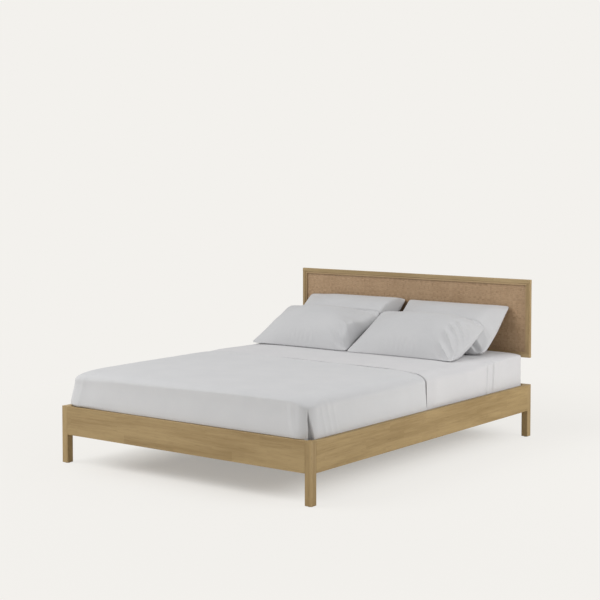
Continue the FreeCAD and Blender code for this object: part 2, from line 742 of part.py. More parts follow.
def bed_form(grow, foot_levels):
    """The mattress's form, grown outwards by a sheet's thickness.

    foot_levels are (inset, height) pairs of the lowest outlines. Above them the side runs straight up to
    a quarter ellipse, and then the top rises slowly to a flat crown.
    """
    half_x, half_y = num("mattress_width / 2"), num("mattress_length / 2")
    radius, run = num("mattress_corner_radius"), num("mattress_edge_run")
    drop, crown = num("mattress_edge_drop"), num("mattress_crown")
    top = num("mattress_top") + grow
    crown_run = num("mattress_width") * CROWN_RUN_SHARE
    levels = list(foot_levels)
    for k in range(EDGE_STEPS + 1):
        turn = math.radians(QUARTER_TURN) * k / EDGE_STEPS
        levels.append((run * (1 - math.cos(turn)), top - crown - drop * (1 - math.sin(turn))))
    for k in range(1, CROWN_STEPS + 1):
        left = 1 - k / CROWN_STEPS
        levels.append((run + crown_run * (1 - left), top - crown * left ** 2))
    deepest = run + crown_run
    outlines = []
    for inset, z in levels:
        swell = CORNER_SWELL_SHARE * inset / deepest
        rounding = radius + grow + swell * (half_x - inset - radius)
        outlines.append(round_outline(half_x - inset + grow, half_y - inset + grow, rounding, z))
    return Part.makeLoft(outlines, True, True)


def make_mattress():
    """A mattress with a rounded foot, straight sides, soft top edges and a crown."""
    radius, low = num("mattress_base_radius"), num("slat_top")
    foot = []
    for k in range(BASE_STEPS + 1):
        turn = math.radians(QUARTER_TURN) * k / BASE_STEPS
        foot.append((radius * (1 - math.sin(turn)), low + radius * (1 - math.cos(turn))))
    return node(solid("mattress", bed_form(0, foot)))


def sheet_form(grow, rise):
    """The mattress's form from a hem's height upwards, grown by a sheet's thickness."""
    return bed_form(grow, [(0, num("slat_top") + rise)])


def make_fitted_sheet(mattress):
    """A thin sheet over the whole mattress, down to a hem inside the frame."""
    form = sheet_form(num("fitted_sheet_thickness"), num("fitted_hem_rise"))
    node(cut("fitted_sheet", solid("fitted_sheet_outside", form), mattress))


def make_top_sheet():
    """A sheet over the foot half of the bed, tucked inside the rails, with a fold at each foot corner."""
    under = num("fitted_sheet_thickness")
    rise = num("top_hem_rise")
    outside = solid("top_sheet_outside", sheet_form(under + num("top_sheet_thickness"), rise))
    inside = solid("top_sheet_inside", sheet_form(under, rise - num("overrun") / 2))
    head_side = box("top_sheet_head_side",
                    ("bed_width + bed_length", "bed_length", "mattress_thickness + overrun"),
                    ("-(bed_width + bed_length) / 2", "0", "slat_top"))
    spin = FreeCAD.Rotation(FreeCAD.Vector(0, 0, 1), -num("top_sheet_skew_degrees"))
    edge = FreeCAD.Vector(0, num("foot_inner_y + mattress_end_gap + top_sheet_reach"), 0)
    past_edge = group("top_sheet_past_edge", head_side, [FreeCAD.Placement(edge, spin)])
    node(cut("top_sheet", outside, inside, past_edge, corner_folds()))


def corner_folds():
    """The two upright wedges that the top sheet leaves open at the foot corners."""
    half, low = num("corner_fold_width / 2"), num("slat_top + top_hem_rise - overrun")
    high = num("mattress_top - mattress_edge_drop - corner_fold_top_drop")
    reach = num("mattress_corner_radius + overrun")
    x = num("mattress_width / 2 - mattress_corner_radius")
    y = num("middle_y - mattress_length / 2 + mattress_corner_radius")
    wedges = []
    for side in (-1, 1):
        start = FreeCAD.Vector(side * x, y, 0)
        out = FreeCAD.Vector(side, -1, 0).normalize()
        across = FreeCAD.Vector(side, 1, 0).normalize()
        corners = [start + across * a + FreeCAD.Vector(0, 0, z)
                   for a, z in ((-half, low), (half, low), (0, high))]
        triangle = Part.Face(Part.makePolygon(corners + corners[:1]))
        wedges.append(triangle.extrude(out * reach))
    return solid("corner_fold_wedges", Part.makeCompound(wedges))


def pillow_stations():
    """Place along the pillow, half depth and half thickness of each of its lens-shaped sections.

    The stations crowd towards the ends. The pillow is thickest in the middle and thins to its end seams,
    and its long sides are drawn in between the corners.
    """
    half_length, half_depth = num("pillow_length / 2"), num("pillow_depth / 2")
    half_thick, half_edge = num("pillow_thickness / 2"), num("pillow_edge / 2")
    stations = []
    for k in range(PILLOW_STATIONS + 1):
        turn = math.pi * k / PILLOW_STATIONS
        swell = max(math.sin(turn), 0)
        depth = half_depth * (1 - PILLOW_DRAW_SHARE * swell ** 2)
        thick = half_edge + (half_thick - half_edge) * swell ** PILLOW_FULLNESS_SHARE
        stations.append((-half_length * math.cos(turn), depth, thick))
    return stations


def arc_radius(depth, thick):
    """Radius of the two arcs of a lens with these half sizes."""
    return (depth ** 2 + thick ** 2) / (2 * thick)


def lens_reach(depth, thick, along, over):
    """How far a lens reaches from its middle in a direction, given along and over its seam line."""
    radius = arc_radius(depth, thick)
    if radius * abs(along) > depth:
        return depth * abs(along)
    return radius - (radius - thick) * abs(over)


def pillow_shape():
    """A pillow with its length on X and its depth on Y, lofted through lenses of two arcs."""
    wires = []
    for x, depth, thick in pillow_stations():
        front, back = FreeCAD.Vector(x, -depth, 0), FreeCAD.Vector(x, depth, 0)
        over = Part.Arc(front, FreeCAD.Vector(x, 0, thick), back).toShape()
        under = Part.Arc(back, FreeCAD.Vector(x, 0, -thick), front).toShape()
        wires.append(Part.Wire([over, under]))
    return Part.makeLoft(wires, True, True)


def pillow_height(lean):
    """Height of a leaning pillow's middle when it just clears the fitted sheet."""
    along, over = math.sin(lean), math.cos(lean)
    return num("pillow_floor") + max(lens_reach(d, t, along, over) for _, d, t in pillow_stations())


def make_pillows():
    """Two pillows against the headboard and two against those.

    The fullest sections of a front and a rear pillow touch where the circles of their facing arcs do, so
    the distance between those circles' centres is both radii and the gap.
    """
    rear, front = (math.radians(num(f"pillow_{row}_lean_degrees")) for row in ("rear", "front"))
    stations = pillow_stations()
    _, depth, thick = stations[len(stations) // 2]
    radius = arc_radius(depth, thick)
    back_reach = max(lens_reach(d, t, math.cos(rear), math.sin(rear)) for _, d, t in stations)
    rear_y, rear_z = num("pillow_back_y") - back_reach, pillow_height(rear)
    front_z = pillow_height(front)
    sink = radius - thick
    rise = front_z + sink * math.cos(front) - (rear_z - sink * math.cos(rear))
    apart = math.sqrt((2 * radius + num("soft_gap")) ** 2 - rise ** 2)
    front_y = rear_y + sink * math.sin(rear) - apart + sink * math.sin(front)
    rear_x = num("(pillow_length + pillow_rear_apart) / 2")
    front_x = num("(pillow_length + pillow_front_apart) / 2")
    shift = num("pillow_front_shift")
    spots = {
        "pillow_rear_left": (-rear_x, rear_y, rear_z, rear),
        "pillow_rear_right": (rear_x, rear_y, rear_z, rear),
        "pillow_front_left": (-front_x - shift, front_y, front_z, front),
        "pillow_front_right": (front_x - shift, front_y, front_z, front),
    }
    for name, (x, y, z, lean) in spots.items():
        pillow = node(solid(name, pillow_shape()))
        turn = FreeCAD.Rotation(FreeCAD.Vector(1, 0, 0), math.degrees(lean))
        pillow.Placement = FreeCAD.Placement(FreeCAD.Vector(x, y, z), turn)


def check_and_write():
    """Recomputes, checks every object and writes each piece to its own file."""
    doc.recompute()
    for obj in doc.Objects:
        if {"Invalid", "Error"} & set(obj.State):
            raise RuntimeError(f"{obj.Label} failed: {obj.State}")
    for obj in nodes:
        if obj.Shape.isNull() or not obj.Shape.isValid() or not obj.Shape.Solids:
            raise RuntimeError(f"{obj.Label} has no valid solid")
    os.makedirs("parts", exist_ok=True)
    for obj in nodes:
        obj.Shape.exportStep(f"parts/{obj.Label}.step")
        print(obj.Label, len(obj.Shape.Solids), round(obj.Shape.Volume))


corner_bolts = make_corner_bolts()
plate_screws = make_plate_screws()
ledge_screws = make_ledge_screws()
slat_screws = make_slat_screws()
headboard_screws = make_headboard_screws()
strut_bolts = make_strut_bolts()
make_strut_nuts()
leg_glides = make_leg_glides()
make_legs(corner_bolts, leg_glides)
make_rails(plate_screws, ledge_screws, strut_bolts)
make_corner_plates(corner_bolts, plate_screws)
make_ledges(ledge_screws, slat_screws)
make_slats(slat_screws)
studs = make_centre_leg_studs()
threaded_inserts, leg_bores = make_threaded_inserts()
make_beam(studs)
make_stirrups(plate_screws)
make_centre_legs(studs, leg_bores)
make_levelling_screws()
make_headboard(headboard_screws)
make_beads()
make_panels()
make_struts(strut_bolts, headboard_screws)
mattress = make_mattress()
make_fitted_sheet(mattress)
make_top_sheet()
make_pillows()
check_and_write()
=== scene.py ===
import math

import bmesh
import bpy
import numpy as np
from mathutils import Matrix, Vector


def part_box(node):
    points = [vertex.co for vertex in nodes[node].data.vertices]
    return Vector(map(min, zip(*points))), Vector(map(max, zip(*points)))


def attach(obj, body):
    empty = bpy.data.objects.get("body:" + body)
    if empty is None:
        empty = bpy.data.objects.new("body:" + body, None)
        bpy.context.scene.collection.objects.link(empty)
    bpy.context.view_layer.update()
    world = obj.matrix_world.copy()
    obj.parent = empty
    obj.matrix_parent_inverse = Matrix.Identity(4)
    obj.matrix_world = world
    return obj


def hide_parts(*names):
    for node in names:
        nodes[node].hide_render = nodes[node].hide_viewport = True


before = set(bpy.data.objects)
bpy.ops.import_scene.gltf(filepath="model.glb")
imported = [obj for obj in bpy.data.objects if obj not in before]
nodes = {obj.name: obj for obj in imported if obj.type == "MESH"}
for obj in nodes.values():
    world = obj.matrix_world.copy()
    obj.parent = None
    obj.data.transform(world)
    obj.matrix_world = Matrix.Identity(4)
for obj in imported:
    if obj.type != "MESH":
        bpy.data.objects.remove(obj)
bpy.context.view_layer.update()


def srgb(red, green, blue):
    """A colour picked on a screen, 0 to 255, as the linear RGBA that nodes take."""
    parts = np.array([red, green, blue]) / 255
    linear = np.where(parts <= 0.04045, parts / 12.92, ((parts + 0.055) / 1.055) ** 2.4)
    return (*linear.tolist(), 1.0)


PAPER = srgb(243, 241, 237)

# Node helpers.


def feed(tree, made, inputs):
    """Gives each named or numbered input of a node a plain value or a link from a socket."""
    for place, value in inputs.items():
        if isinstance(value, (int, float, tuple)):
            made.inputs[place].default_value = value
        else:
            tree.links.new(value, made.inputs[place])


def add(tree, kind, inputs=None, **settings):
    """A node's outputs, once it is made, set and fed."""
    made = tree.nodes.new(kind)
    for name, value in settings.items():
        setattr(made, name, value)
    feed(tree, made, inputs or {})
    return made.outputs


def math_node(tree, operation, *inputs, clamp=False):
    """Arithmetic on sockets or plain numbers."""
    return add(tree, "ShaderNodeMath", dict(enumerate(inputs)), operation=operation, use_clamp=clamp)[0]


def vector_math(tree, operation, *inputs):
    """Arithmetic on vectors, each a socket or three plain numbers."""
    made = add(tree, "ShaderNodeVectorMath", dict(enumerate(inputs)), operation=operation)
    return made["Value" if operation == "LENGTH" else "Vector"]


def stretched(tree, vector, factors):
    """Coordinates multiplied axis by axis."""
    return vector_math(tree, "MULTIPLY", vector, factors)


def blended(tree, *parts):
    """Values added up, each times its share."""
    total = None
    for value, share in parts:
        part = math_node(tree, "MULTIPLY", value, share)
        total = part if total is None else math_node(tree, "ADD", total, part)
    return total


def noise(tree, vector, scale=1.0, detail=3.0, roughness=0.55, distortion=0.0):
    """Cloudy noise, as a value about 0.5."""
    return add(tree, "ShaderNodeTexNoise", {"Vector": vector, "Scale": scale, "Detail": detail,
                                            "Roughness": roughness, "Distortion": distortion})["Fac"]


def random_at(tree, vector):
    """A random value and colour for each place."""
    return add(tree, "ShaderNodeTexWhiteNoise", {"Vector": vector})


def spread(tree, value, span, to=(0.0, 1.0)):
    """A span of values moved to another, clamped, with soft ends."""
    inputs = {"Value": value, "From Min": span[0], "From Max": span[1], "To Min": to[0], "To Max": to[1]}
    return add(tree, "ShaderNodeMapRange", inputs, interpolation_type="SMOOTHSTEP")["Result"]


def mixed(tree, share, first, second, blend="MIX"):
    """Two colours mixed by a share; each is a socket or a plain colour."""
    return add(tree, "ShaderNodeMix", {0: share, 6: first, 7: second}, data_type="RGBA", blend_type=blend)[2]


def new_group(name, inputs, outputs):
    """An empty shader node group with named sockets."""
    tree = bpy.data.node_groups.new(name, "ShaderNodeTree")
    for socket, kind in inputs:
        tree.interface.new_socket(socket, in_out="INPUT", socket_type=kind)
    for socket, kind in outputs:
        tree.interface.new_socket(socket, in_out="OUTPUT", socket_type=kind)
    return tree, tree.nodes.new("NodeGroupInput").outputs, tree.nodes.new("NodeGroupOutput").inputs


# Finishes. Lengths are in metres; streaks, fibres, slubs and patches are counted to a metre.
VECTOR, COLOUR, VALUE = "NodeSocketVector", "NodeSocketColor", "NodeSocketFloat"
MIDDLE_SPAN = (0.3, 0.7)
STAVE_WIDTH, STAVE_LENGTH, STAVE_SHIFT = 0.049, 0.33, (3, 3, 3)
BROAD_STREAKS, FINE_STREAKS, PORES = (1.4, 15, 15), (4, 90, 90), (16, 620, 620)
PORE_STAIN, PORE_DEPTH = (0.55, 0.5, 0.44, 1), 0.45
THREAD_PITCH, SLUBS, COTTON_CLOUDS, COTTON_SHADE = 0.0009, 260, 6, (0.965, 0.967, 0.97, 1)
CANE_FIBRES, CANE_PATCHES = (22, 1400, 1400), 13
FLECK_STAIN, FLECK_DEPTH = (0.62, 0.58, 0.52, 1), 0.35
SPANGLES, GLOSS_PATCHES, PLASTIC_GRAIN = 160.0, 90, 900
QUILT_PITCH, QUILT_ROUNDNESS, KNIT_LOOPS = 0.06, 0.4, 420


def oak_grain_group():
    """Oak staves along X, each with its own tone: broad and fine streaks of two colours, and dark pores."""
    tree, given, out = new_group("oak_grain", [("Vector", VECTOR), ("Pale", COLOUR), ("Deep", COLOUR)],
                                 [("Color", COLOUR), ("Roughness", VALUE), ("Height", VALUE)])
    place = given["Vector"]
    rows = vector_math(tree, "FLOOR", stretched(tree, place, (0, 1 / STAVE_WIDTH, 1 / STAVE_WIDTH)))
    shift = stretched(tree, random_at(tree, rows)["Color"], (1, 0, 0))
    along = vector_math(tree, "MULTIPLY_ADD", place, (1 / STAVE_LENGTH, 0, 0), shift)
    stave = random_at(tree, vector_math(tree, "ADD", vector_math(tree, "FLOOR", along), rows))
    moved = vector_math(tree, "MULTIPLY_ADD", stave["Color"], STAVE_SHIFT, place)
    broad = noise(tree, stretched(tree, place, BROAD_STREAKS), detail=4, distortion=0.6)
    fine = noise(tree, stretched(tree, moved, FINE_STREAKS), detail=4, roughness=0.6, distortion=0.2)
    pore = noise(tree, stretched(tree, moved, PORES), detail=1, roughness=0.5)
    streak = blended(tree, (broad, 0.6), (fine, 0.34), (stave["Value"], 0.06))
    colour = mixed(tree, spread(tree, streak, (0.36, 0.66)), given["Pale"], given["Deep"])
    pores = math_node(tree, "MULTIPLY", spread(tree, pore, (0.57, 0.72)), PORE_DEPTH)
    stained = mixed(tree, 1.0, colour, PORE_STAIN, "MULTIPLY")
    tree.links.new(mixed(tree, pores, colour, stained), out["Color"])
    tree.links.new(spread(tree, streak, MIDDLE_SPAN, to=(0.5, 0.64)), out["Roughness"])
    tree.links.new(math_node(tree, "SUBTRACT", math_node(tree, "MULTIPLY", fine, 0.5), pores), out["Height"])
    return tree


def cotton_group():
    """Plain woven cotton: crossing threads, slubs and a faint unevenness of tone."""
    tree, given, out = new_group("cotton_weave", [("Vector", VECTOR), ("Cloth", COLOUR)],
                                 [("Color", COLOUR), ("Height", VALUE)])
    axes = add(tree, "ShaderNodeSeparateXYZ", {0: given["Vector"]})
    turns = 2 * math.pi / THREAD_PITCH
    waves = [math_node(tree, "SINE", math_node(tree, "MULTIPLY", axis, turns)) for axis in axes]
    threads = math_node(tree, "ADD", math_node(tree, "ADD", waves[0], waves[1]), waves[2])
    slub = noise(tree, given["Vector"], SLUBS, detail=2)
    cloud = noise(tree, given["Vector"], COTTON_CLOUDS)
    tone = blended(tree, (cloud, 0.7), (slub, 0.3))
    shaded = mixed(tree, 1.0, given["Cloth"], COTTON_SHADE, "MULTIPLY")
    tree.links.new(mixed(tree, spread(tree, tone, (0.35, 0.65)), shaded, given["Cloth"]), out["Color"])
    tree.links.new(blended(tree, (threads, 0.08), (slub, 0.5)), out["Height"])
    return tree


def cane_group():
    """Peeled cane: a tone for each length of strip, fibres along X and small darker flecks."""
    tree, given, out = new_group("cane_fibre", [("Vector", VECTOR), ("Tone", VALUE), ("Pale", COLOUR),
                                                ("Deep", COLOUR)],
                                 [("Color", COLOUR), ("Roughness", VALUE), ("Height", VALUE)])
    fibre = noise(tree, stretched(tree, given["Vector"], CANE_FIBRES), detail=2)
    patch = noise(tree, given["Vector"], CANE_PATCHES)
    share = blended(tree, (given["Tone"], 0.7), (spread(tree, patch, MIDDLE_SPAN), 0.3))
    colour = mixed(tree, share, given["Pale"], given["Deep"])
    flecks = math_node(tree, "MULTIPLY", spread(tree, fibre, (0.5, 0.75)), FLECK_DEPTH)
    stained = mixed(tree, 1.0, colour, FLECK_STAIN, "MULTIPLY")
    tree.links.new(mixed(tree, flecks, colour, stained), out["Color"])
    tree.links.new(spread(tree, fibre, MIDDLE_SPAN, to=(0.42, 0.6)), out["Roughness"])
    tree.links.new(fibre, out["Height"])
    return tree


OAK_GRAIN, COTTON, CANE = oak_grain_group(), cotton_group(), cane_group()
# Turns that bring each axis onto X, along which the grain runs.
GRAIN_TURN = {"X": (0, 0, 0), "Y": (0, 0, -math.pi / 2), "Z": (0, math.pi / 2, 0)}


def new_material(name):
    """An empty material with its shader and its output linked."""
    material = bpy.data.materials.new(name)
    material.use_nodes = True
    tree = material.node_tree
    return material, tree, tree.nodes["Principled BSDF"]


def object_vector(tree, along="X"):
    """Object coordinates turned so that the named axis becomes X."""
    place = add(tree, "ShaderNodeTexCoord")["Object"]
    return add(tree, "ShaderNodeMapping", {"Vector": place, "Rotation": GRAIN_TURN[along]})[0]


def bump(tree, shader, height, strength, distance):
    """Gives a shader small relief."""
    made = add(tree, "ShaderNodeBump", {"Height": height, "Strength": strength, "Distance": distance})
    tree.links.new(made[0], shader.inputs["Normal"])


def wood(name, along, pale, deep):
    """Oiled wood with its grain along one axis."""
    material, tree, shader = new_material(name)
    inputs = {"Vector": object_vector(tree, along), "Pale": pale, "Deep": deep}
    grain = add(tree, "ShaderNodeGroup", inputs, node_tree=OAK_GRAIN)
    feed(tree, shader, {"Base Color": grain["Color"], "Roughness": grain["Roughness"],
                        "Specular IOR Level": 0.35})
    bump(tree, shader, grain["Height"], strength=0.35, distance=0.0006)
    return material


def cotton(name, cloth):
    """White bed linen."""
    material, tree, shader = new_material(name)
    weave = add(tree, "ShaderNodeGroup", {"Vector": object_vector(tree), "Cloth": cloth}, node_tree=COTTON)
    feed(tree, shader, {"Base Color": weave["Color"], "Roughness": 0.85, "Specular IOR Level": 0.2,
                        "Sheen Weight": 0.15, "Sheen Roughness": 0.5})
    bump(tree, shader, weave["Height"], strength=0.25, distance=0.0004)
    return material


def cane(name, along):
    """Woven cane strips that run along one axis."""
    material, tree, shader = new_material(name)
    tone = add(tree, "ShaderNodeAttribute", attribute_name="strip_tone")["Fac"]
    inputs = {"Vector": object_vector(tree, along), "Tone": tone,
              "Pale": srgb(187, 157, 124), "Deep": srgb(157, 127, 95)}
    strip = add(tree, "ShaderNodeGroup", inputs, node_tree=CANE)
    feed(tree, shader, {"Base Color": strip["Color"], "Roughness": strip["Roughness"]})
    bump(tree, shader, strip["Height"], strength=0.3, distance=0.0004)
    return material


def zinc():
    """Zinc-plated steel: faint spangle in tone and gloss."""
    material, tree, shader = new_material("zinc_steel")
    vector = object_vector(tree)
    spangle = add(tree, "ShaderNodeTexVoronoi", {"Vector": vector, "Scale": SPANGLES})["Color"]
    grey = add(tree, "ShaderNodeSeparateColor", {0: spangle})[0]
    gloss = spread(tree, noise(tree, vector, GLOSS_PATCHES), MIDDLE_SPAN, to=(0.3, 0.48))
    feed(tree, shader, {"Base Color": mixed(tree, grey, srgb(158, 160, 162), srgb(190, 191, 190)),
                        "Roughness": gloss, "Metallic": 1.0})
    return material


def glide_plastic():
    """Moulded dark plastic with a fine grained skin."""
    material, tree, shader = new_material("glide_plastic")
    grain = noise(tree, object_vector(tree), PLASTIC_GRAIN, detail=2)
    feed(tree, shader, {"Base Color": mixed(tree, grain, srgb(52, 48, 44), srgb(66, 62, 58)),
                        "Roughness": spread(tree, grain, MIDDLE_SPAN, to=(0.5, 0.62))})
    bump(tree, shader, grain, strength=0.2, distance=0.0003)
    return material


def quilted_knit():
    """Mattress ticking: a knitted cover quilted in diamonds, its colour darker along the quilt lines as
    painted shade in their hollows.
    """
    material, tree, shader = new_material("mattress_ticking")
    vector = object_vector(tree)
    axes = add(tree, "ShaderNodeSeparateXYZ", {0: vector})
    run = math_node(tree, "ADD", axes[0], axes[1])
    lines = []
    for sign in (1, -1):
        slant = math_node(tree, "ADD", run, math_node(tree, "MULTIPLY", axes[2], sign))
        wave = math_node(tree, "SINE", math_node(tree, "MULTIPLY", slant, math.pi / QUILT_PITCH))
        lines.append(math_node(tree, "POWER", math_node(tree, "ABSOLUTE", wave), QUILT_ROUNDNESS))
    height = math_node(tree, "MULTIPLY", *lines)
    knit = math_node(tree, "MULTIPLY", noise(tree, vector, KNIT_LOOPS, detail=2), 0.15)
    # Painted shade: the colour darkens where the quilting sinks in.
    feed(tree, shader, {"Base Color": mixed(tree, height, srgb(205, 206, 206), srgb(228, 228, 226)),
                        "Roughness": 0.9, "Sheen Weight": 0.1})
    bump(tree, shader, math_node(tree, "ADD", height, knit), strength=0.6, distance=0.006)
    return material


OAK_PALE, OAK_DEEP = srgb(176, 151, 108), srgb(153, 128, 87)
PINE_PALE, PINE_DEEP = srgb(214, 192, 152), srgb(190, 162, 118)
OAK = {axis: wood(f"oak_{axis.lower()}", axis, OAK_PALE, OAK_DEEP) for axis in "XZ"}
SIDE_OAK = wood("side_rail_oak", "Y", srgb(173, 147, 101), srgb(149, 124, 81))
HEAD_OAK = wood("headboard_oak", "X", srgb(182, 158, 119), srgb(159, 136, 97))
# The stiles' oak is darker than the rails': partly the wood's own variation, partly painted shade that the
# pillows cast on the headboard.
STILE_OAK_SHADED = wood("stile_oak_painted_shade", "Z", srgb(172, 147, 108), srgb(150, 126, 87))
BEAD_OAK = wood("bead_oak", "X", srgb(187, 161, 123), srgb(168, 142, 106))
# The upright beads' oak is darker than the level beads': painted shade from the pillows.
BEAD_END_OAK_SHADED = wood("bead_end_oak_painted_shade", "Z", srgb(178, 152, 115), srgb(158, 132, 97))
PINE = {axis: wood(f"slat_wood_{axis.lower()}", axis, PINE_PALE, PINE_DEEP) for axis in "XYZ"}
BACK_BOARD = wood("back_board", "X", srgb(172, 146, 108), srgb(146, 120, 86))
ZINC, GLIDE, TICKING = zinc(), glide_plastic(), quilted_knit()
SHEET_COTTON = cotton("sheet_cotton", srgb(211, 211, 212))
FITTED_COTTON = cotton("fitted_sheet_cotton", srgb(214, 213, 214))
# The pillowcases' cotton is greyer than the sheets': painted shade for the pillows' steep fronts.
CASE_COTTON_SHADED = cotton("pillowcase_cotton_painted_shade", srgb(204, 204, 205))


def finish_nodes(material, *starts):
    """Gives a material to every CAD node whose name starts with one of these words."""
    for name, node in nodes.items():
        if name.startswith(starts):
            node.data.materials.clear()
            node.data.materials.append(material)


# A later line overrules an earlier one, so the fastenings come after the timber.
finish_nodes(OAK["Z"], "leg_", "strut_")
finish_nodes(OAK["X"], "foot_rail", "head_rail")
finish_nodes(STILE_OAK_SHADED, "headboard_left", "headboard_right")
finish_nodes(HEAD_OAK, "headboard_top", "headboard_bottom")
finish_nodes(BEAD_END_OAK_SHADED, "bead_left", "bead_right")
finish_nodes(BEAD_OAK, "bead_top", "bead_bottom")
finish_nodes(SIDE_OAK, "side_rail_")
finish_nodes(PINE["X"], "slat_")
finish_nodes(PINE["Y"], "ledge_", "centre_beam")
finish_nodes(PINE["Z"], "centre_leg_")
finish_nodes(BACK_BOARD, "back_panel")
finish_nodes(ZINC, "corner_", "plate_", "ledge_screws", "slat_screws", "headboard_screws", "strut_bolts",
             "strut_nuts", "centre_leg_studs", "threaded_inserts", "beam_stirrups")
finish_nodes(GLIDE, "leg_glides", "levelling_")

# Mesh helpers.


def grid_quads(rows, columns, closed=False):
    """Corner numbers of a grid's quads, counted row by row, closed round its columns or not."""
    row = np.arange(rows - 1)[:, None]
    column = np.arange(columns if closed else columns - 1)[None, :]
    after = (column + 1) % columns
    quads = np.stack([row * columns + column, row * columns + after,
                      (row + 1) * columns + after, (row + 1) * columns + column], -1)
    return quads.reshape(-1, 4)


def linked(name, data):
    """A new object in the scene."""
    made = bpy.data.objects.new(name, data)
    bpy.context.scene.collection.objects.link(made)
    return made


def new_object(name, points, quads, material, merge=0.0):
    """A smooth mesh object from points and quads, with doubled points merged and faces turned outwards."""
    mesh = bpy.data.meshes.new(name)
    mesh.from_pydata(points.reshape(-1, 3).tolist(), [], quads.tolist())
    if merge:
        work = bmesh.new()
        work.from_mesh(mesh)
        bmesh.ops.remove_doubles(work, verts=work.verts, dist=merge)
        bmesh.ops.dissolve_degenerate(work, edges=work.edges, dist=merge)
        bmesh.ops.recalc_face_normals(work, faces=work.faces)
        work.to_mesh(mesh)
        work.free()
    mesh.shade_smooth()
    mesh.materials.append(material)
    return linked(name, mesh)


def join_body(piece, body, slot, *stands_for):
    """Puts a piece on the body it rides on and hides the nodes it stands for; the slot is not used."""
    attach(piece, body)
    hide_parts(*stands_for)


def bump_at(value, centre, width):
    """A smooth hump of height 1."""
    return np.exp(-((value - centre) / width) ** 2)


def step_up(value, low, high):
    """A smooth step from 0 to 1 between two values."""
    share = np.clip((value - low) / (high - low), 0, 1)
    return share * share * (3 - 2 * share)


def ripples(points, seed, count, short, long, tall):
    """Soft unevenness: sine waves of random direction, length between two limits and phase, added up."""
    draw = np.random.default_rng(seed)
    direction = draw.normal(size=(count, 3))
    direction /= np.linalg.norm(direction, axis=1, keepdims=True)
    length = draw.uniform(short, long, count)
    phase = draw.uniform(0, 2 * math.pi, count)
    waves = np.tensordot(points, (direction / length[:, None]).T, 1) * 2 * math.pi + phase
    return (np.sin(waves) * tall * length / long).sum(-1) / math.sqrt(count)


# Rattan weave. A length of cane runs over so many steps of its strip, two to each crossing.
WARP_COUNT, WARP_LENGTH, WARP_SEED = 170, 10, 3
WEFT_COUNT, WEFT_LENGTH, WEFT_SEED = 43, 22, 4
STRIP_TONE, LENGTH_TONE = 0.45, 0.6
# Shares of the panel's thickness, of half a strip's width, and of the swing before it is clipped.
SWING_SHARE, HALF_THICK_SHARE, FLAT_SHARE, CLIPPED = 0.13, 0.13, 0.7, 1.5


def strip_tones(strips, steps, length, seed):
    """How dark each strip is along its run: one tone for the strip, another for each length of cane in it.

    Both are powers of even random numbers, so that most of the cane is pale and a few lengths are dark. The
    lengths start at a different place in each strip.
    """
    chance = np.random.default_rng(seed)
    whole = chance.uniform(0, 1, (strips, 1)) ** 2
    lengths = chance.uniform(0, 1, (strips, steps // length + 2)) ** 4
    begin = chance.integers(0, length, (strips, 1))
    each = np.take_along_axis(lengths, (np.arange(steps)[None, :] + begin) // length, 1)
    return STRIP_TONE * whole + LENGTH_TONE * each


def cane_strips(name, axis, box, across_count, along_count, length, seed):
    """One set of cane strips of a plain weave.

    Strips lie side by side at an even pitch. Each pair runs the panel's length as a clipped sine that passes
    over two crossing strips and under the next two, and the next pair runs the other way about. The section
    has five corners: a flat face, two sloping edges and a ridge at the back.
    """
    low, high = np.array(box[0]), np.array(box[1])
    across, along, side = (0, 2, 1) if axis == "Z" else (2, 0, -1)
    pitch_across = (high[across] - low[across]) / across_count
    pitch_along = (high[along] - low[along]) / along_count
    strip = np.arange(across_count)
    step = np.linspace(0, along_count, along_count * 2 + 1)
    middle_y, panel_thick = (low[1] + high[1]) / 2, high[1] - low[1]
    over_under = np.clip(CLIPPED * np.sin(np.pi * step / 2), -1, 1)
    pair_sign = np.where(strip // 2 % 2 == 0, 1, -1)
    wave = side * panel_thick * SWING_SHARE * over_under[None, :] * pair_sign[:, None]
    corner_across = pitch_across * 0.5 * np.array([-1, -FLAT_SHARE, FLAT_SHARE, 1, 0])
    corner_y = panel_thick * HALF_THICK_SHARE * np.array([0, -1, -1, 0, 1])
    points = np.empty((across_count, len(step), len(corner_y), 3))
    points[..., across] = (low[across] + (strip + 0.5) * pitch_across)[:, None, None] + corner_across
    points[..., along] = (low[along] + step * pitch_along)[None, :, None]
    points[..., 1] = middle_y + wave[..., None] + corner_y
    quads = grid_quads(len(step), len(corner_y), closed=True)
    quads = (quads[None] + (strip * len(step) * len(corner_y))[:, None, None]).reshape(-1, 4)
    piece = new_object(name, points, quads, cane(f"{name}_cane", axis))
    values = piece.data.attributes.new("strip_tone", "FLOAT", "POINT")
    tone = strip_tones(across_count, len(step), length, seed)
    values.data.foreach_set("value", np.repeat(tone.ravel(), len(corner_y)).astype(np.float32))
    return piece


weave_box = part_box("rattan_panel")
warp = cane_strips("rattan_warp", "Z", weave_box, WARP_COUNT, WEFT_COUNT, WARP_LENGTH, WARP_SEED)
weft = cane_strips("rattan_weft", "X", weave_box, WEFT_COUNT, WARP_COUNT, WEFT_LENGTH, WEFT_SEED)
join_body(warp, "frame", "rattan", "rattan_panel")
join_body(weft, "frame", "rattan", "rattan_panel")

# Mattress and sheets.
BED_LOW, BED_HIGH = (np.array(corner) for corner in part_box("mattress"))
BED_HALF = (BED_HIGH - BED_LOW) / 2
BED_MIDDLE_Y = (BED_LOW[1] + BED_HIGH[1]) / 2
# The rounded edge's width and height, the crown's height and width, and the corners' radius in plan.
EDGE_RUN, EDGE_DROP, CROWN, CROWN_RUN = 0.080, 0.046, 0.007, 0.183
FOOT_CORNER, HEAD_CORNER, INNER_ROUNDNESS = 0.060, 0.030, 0.7
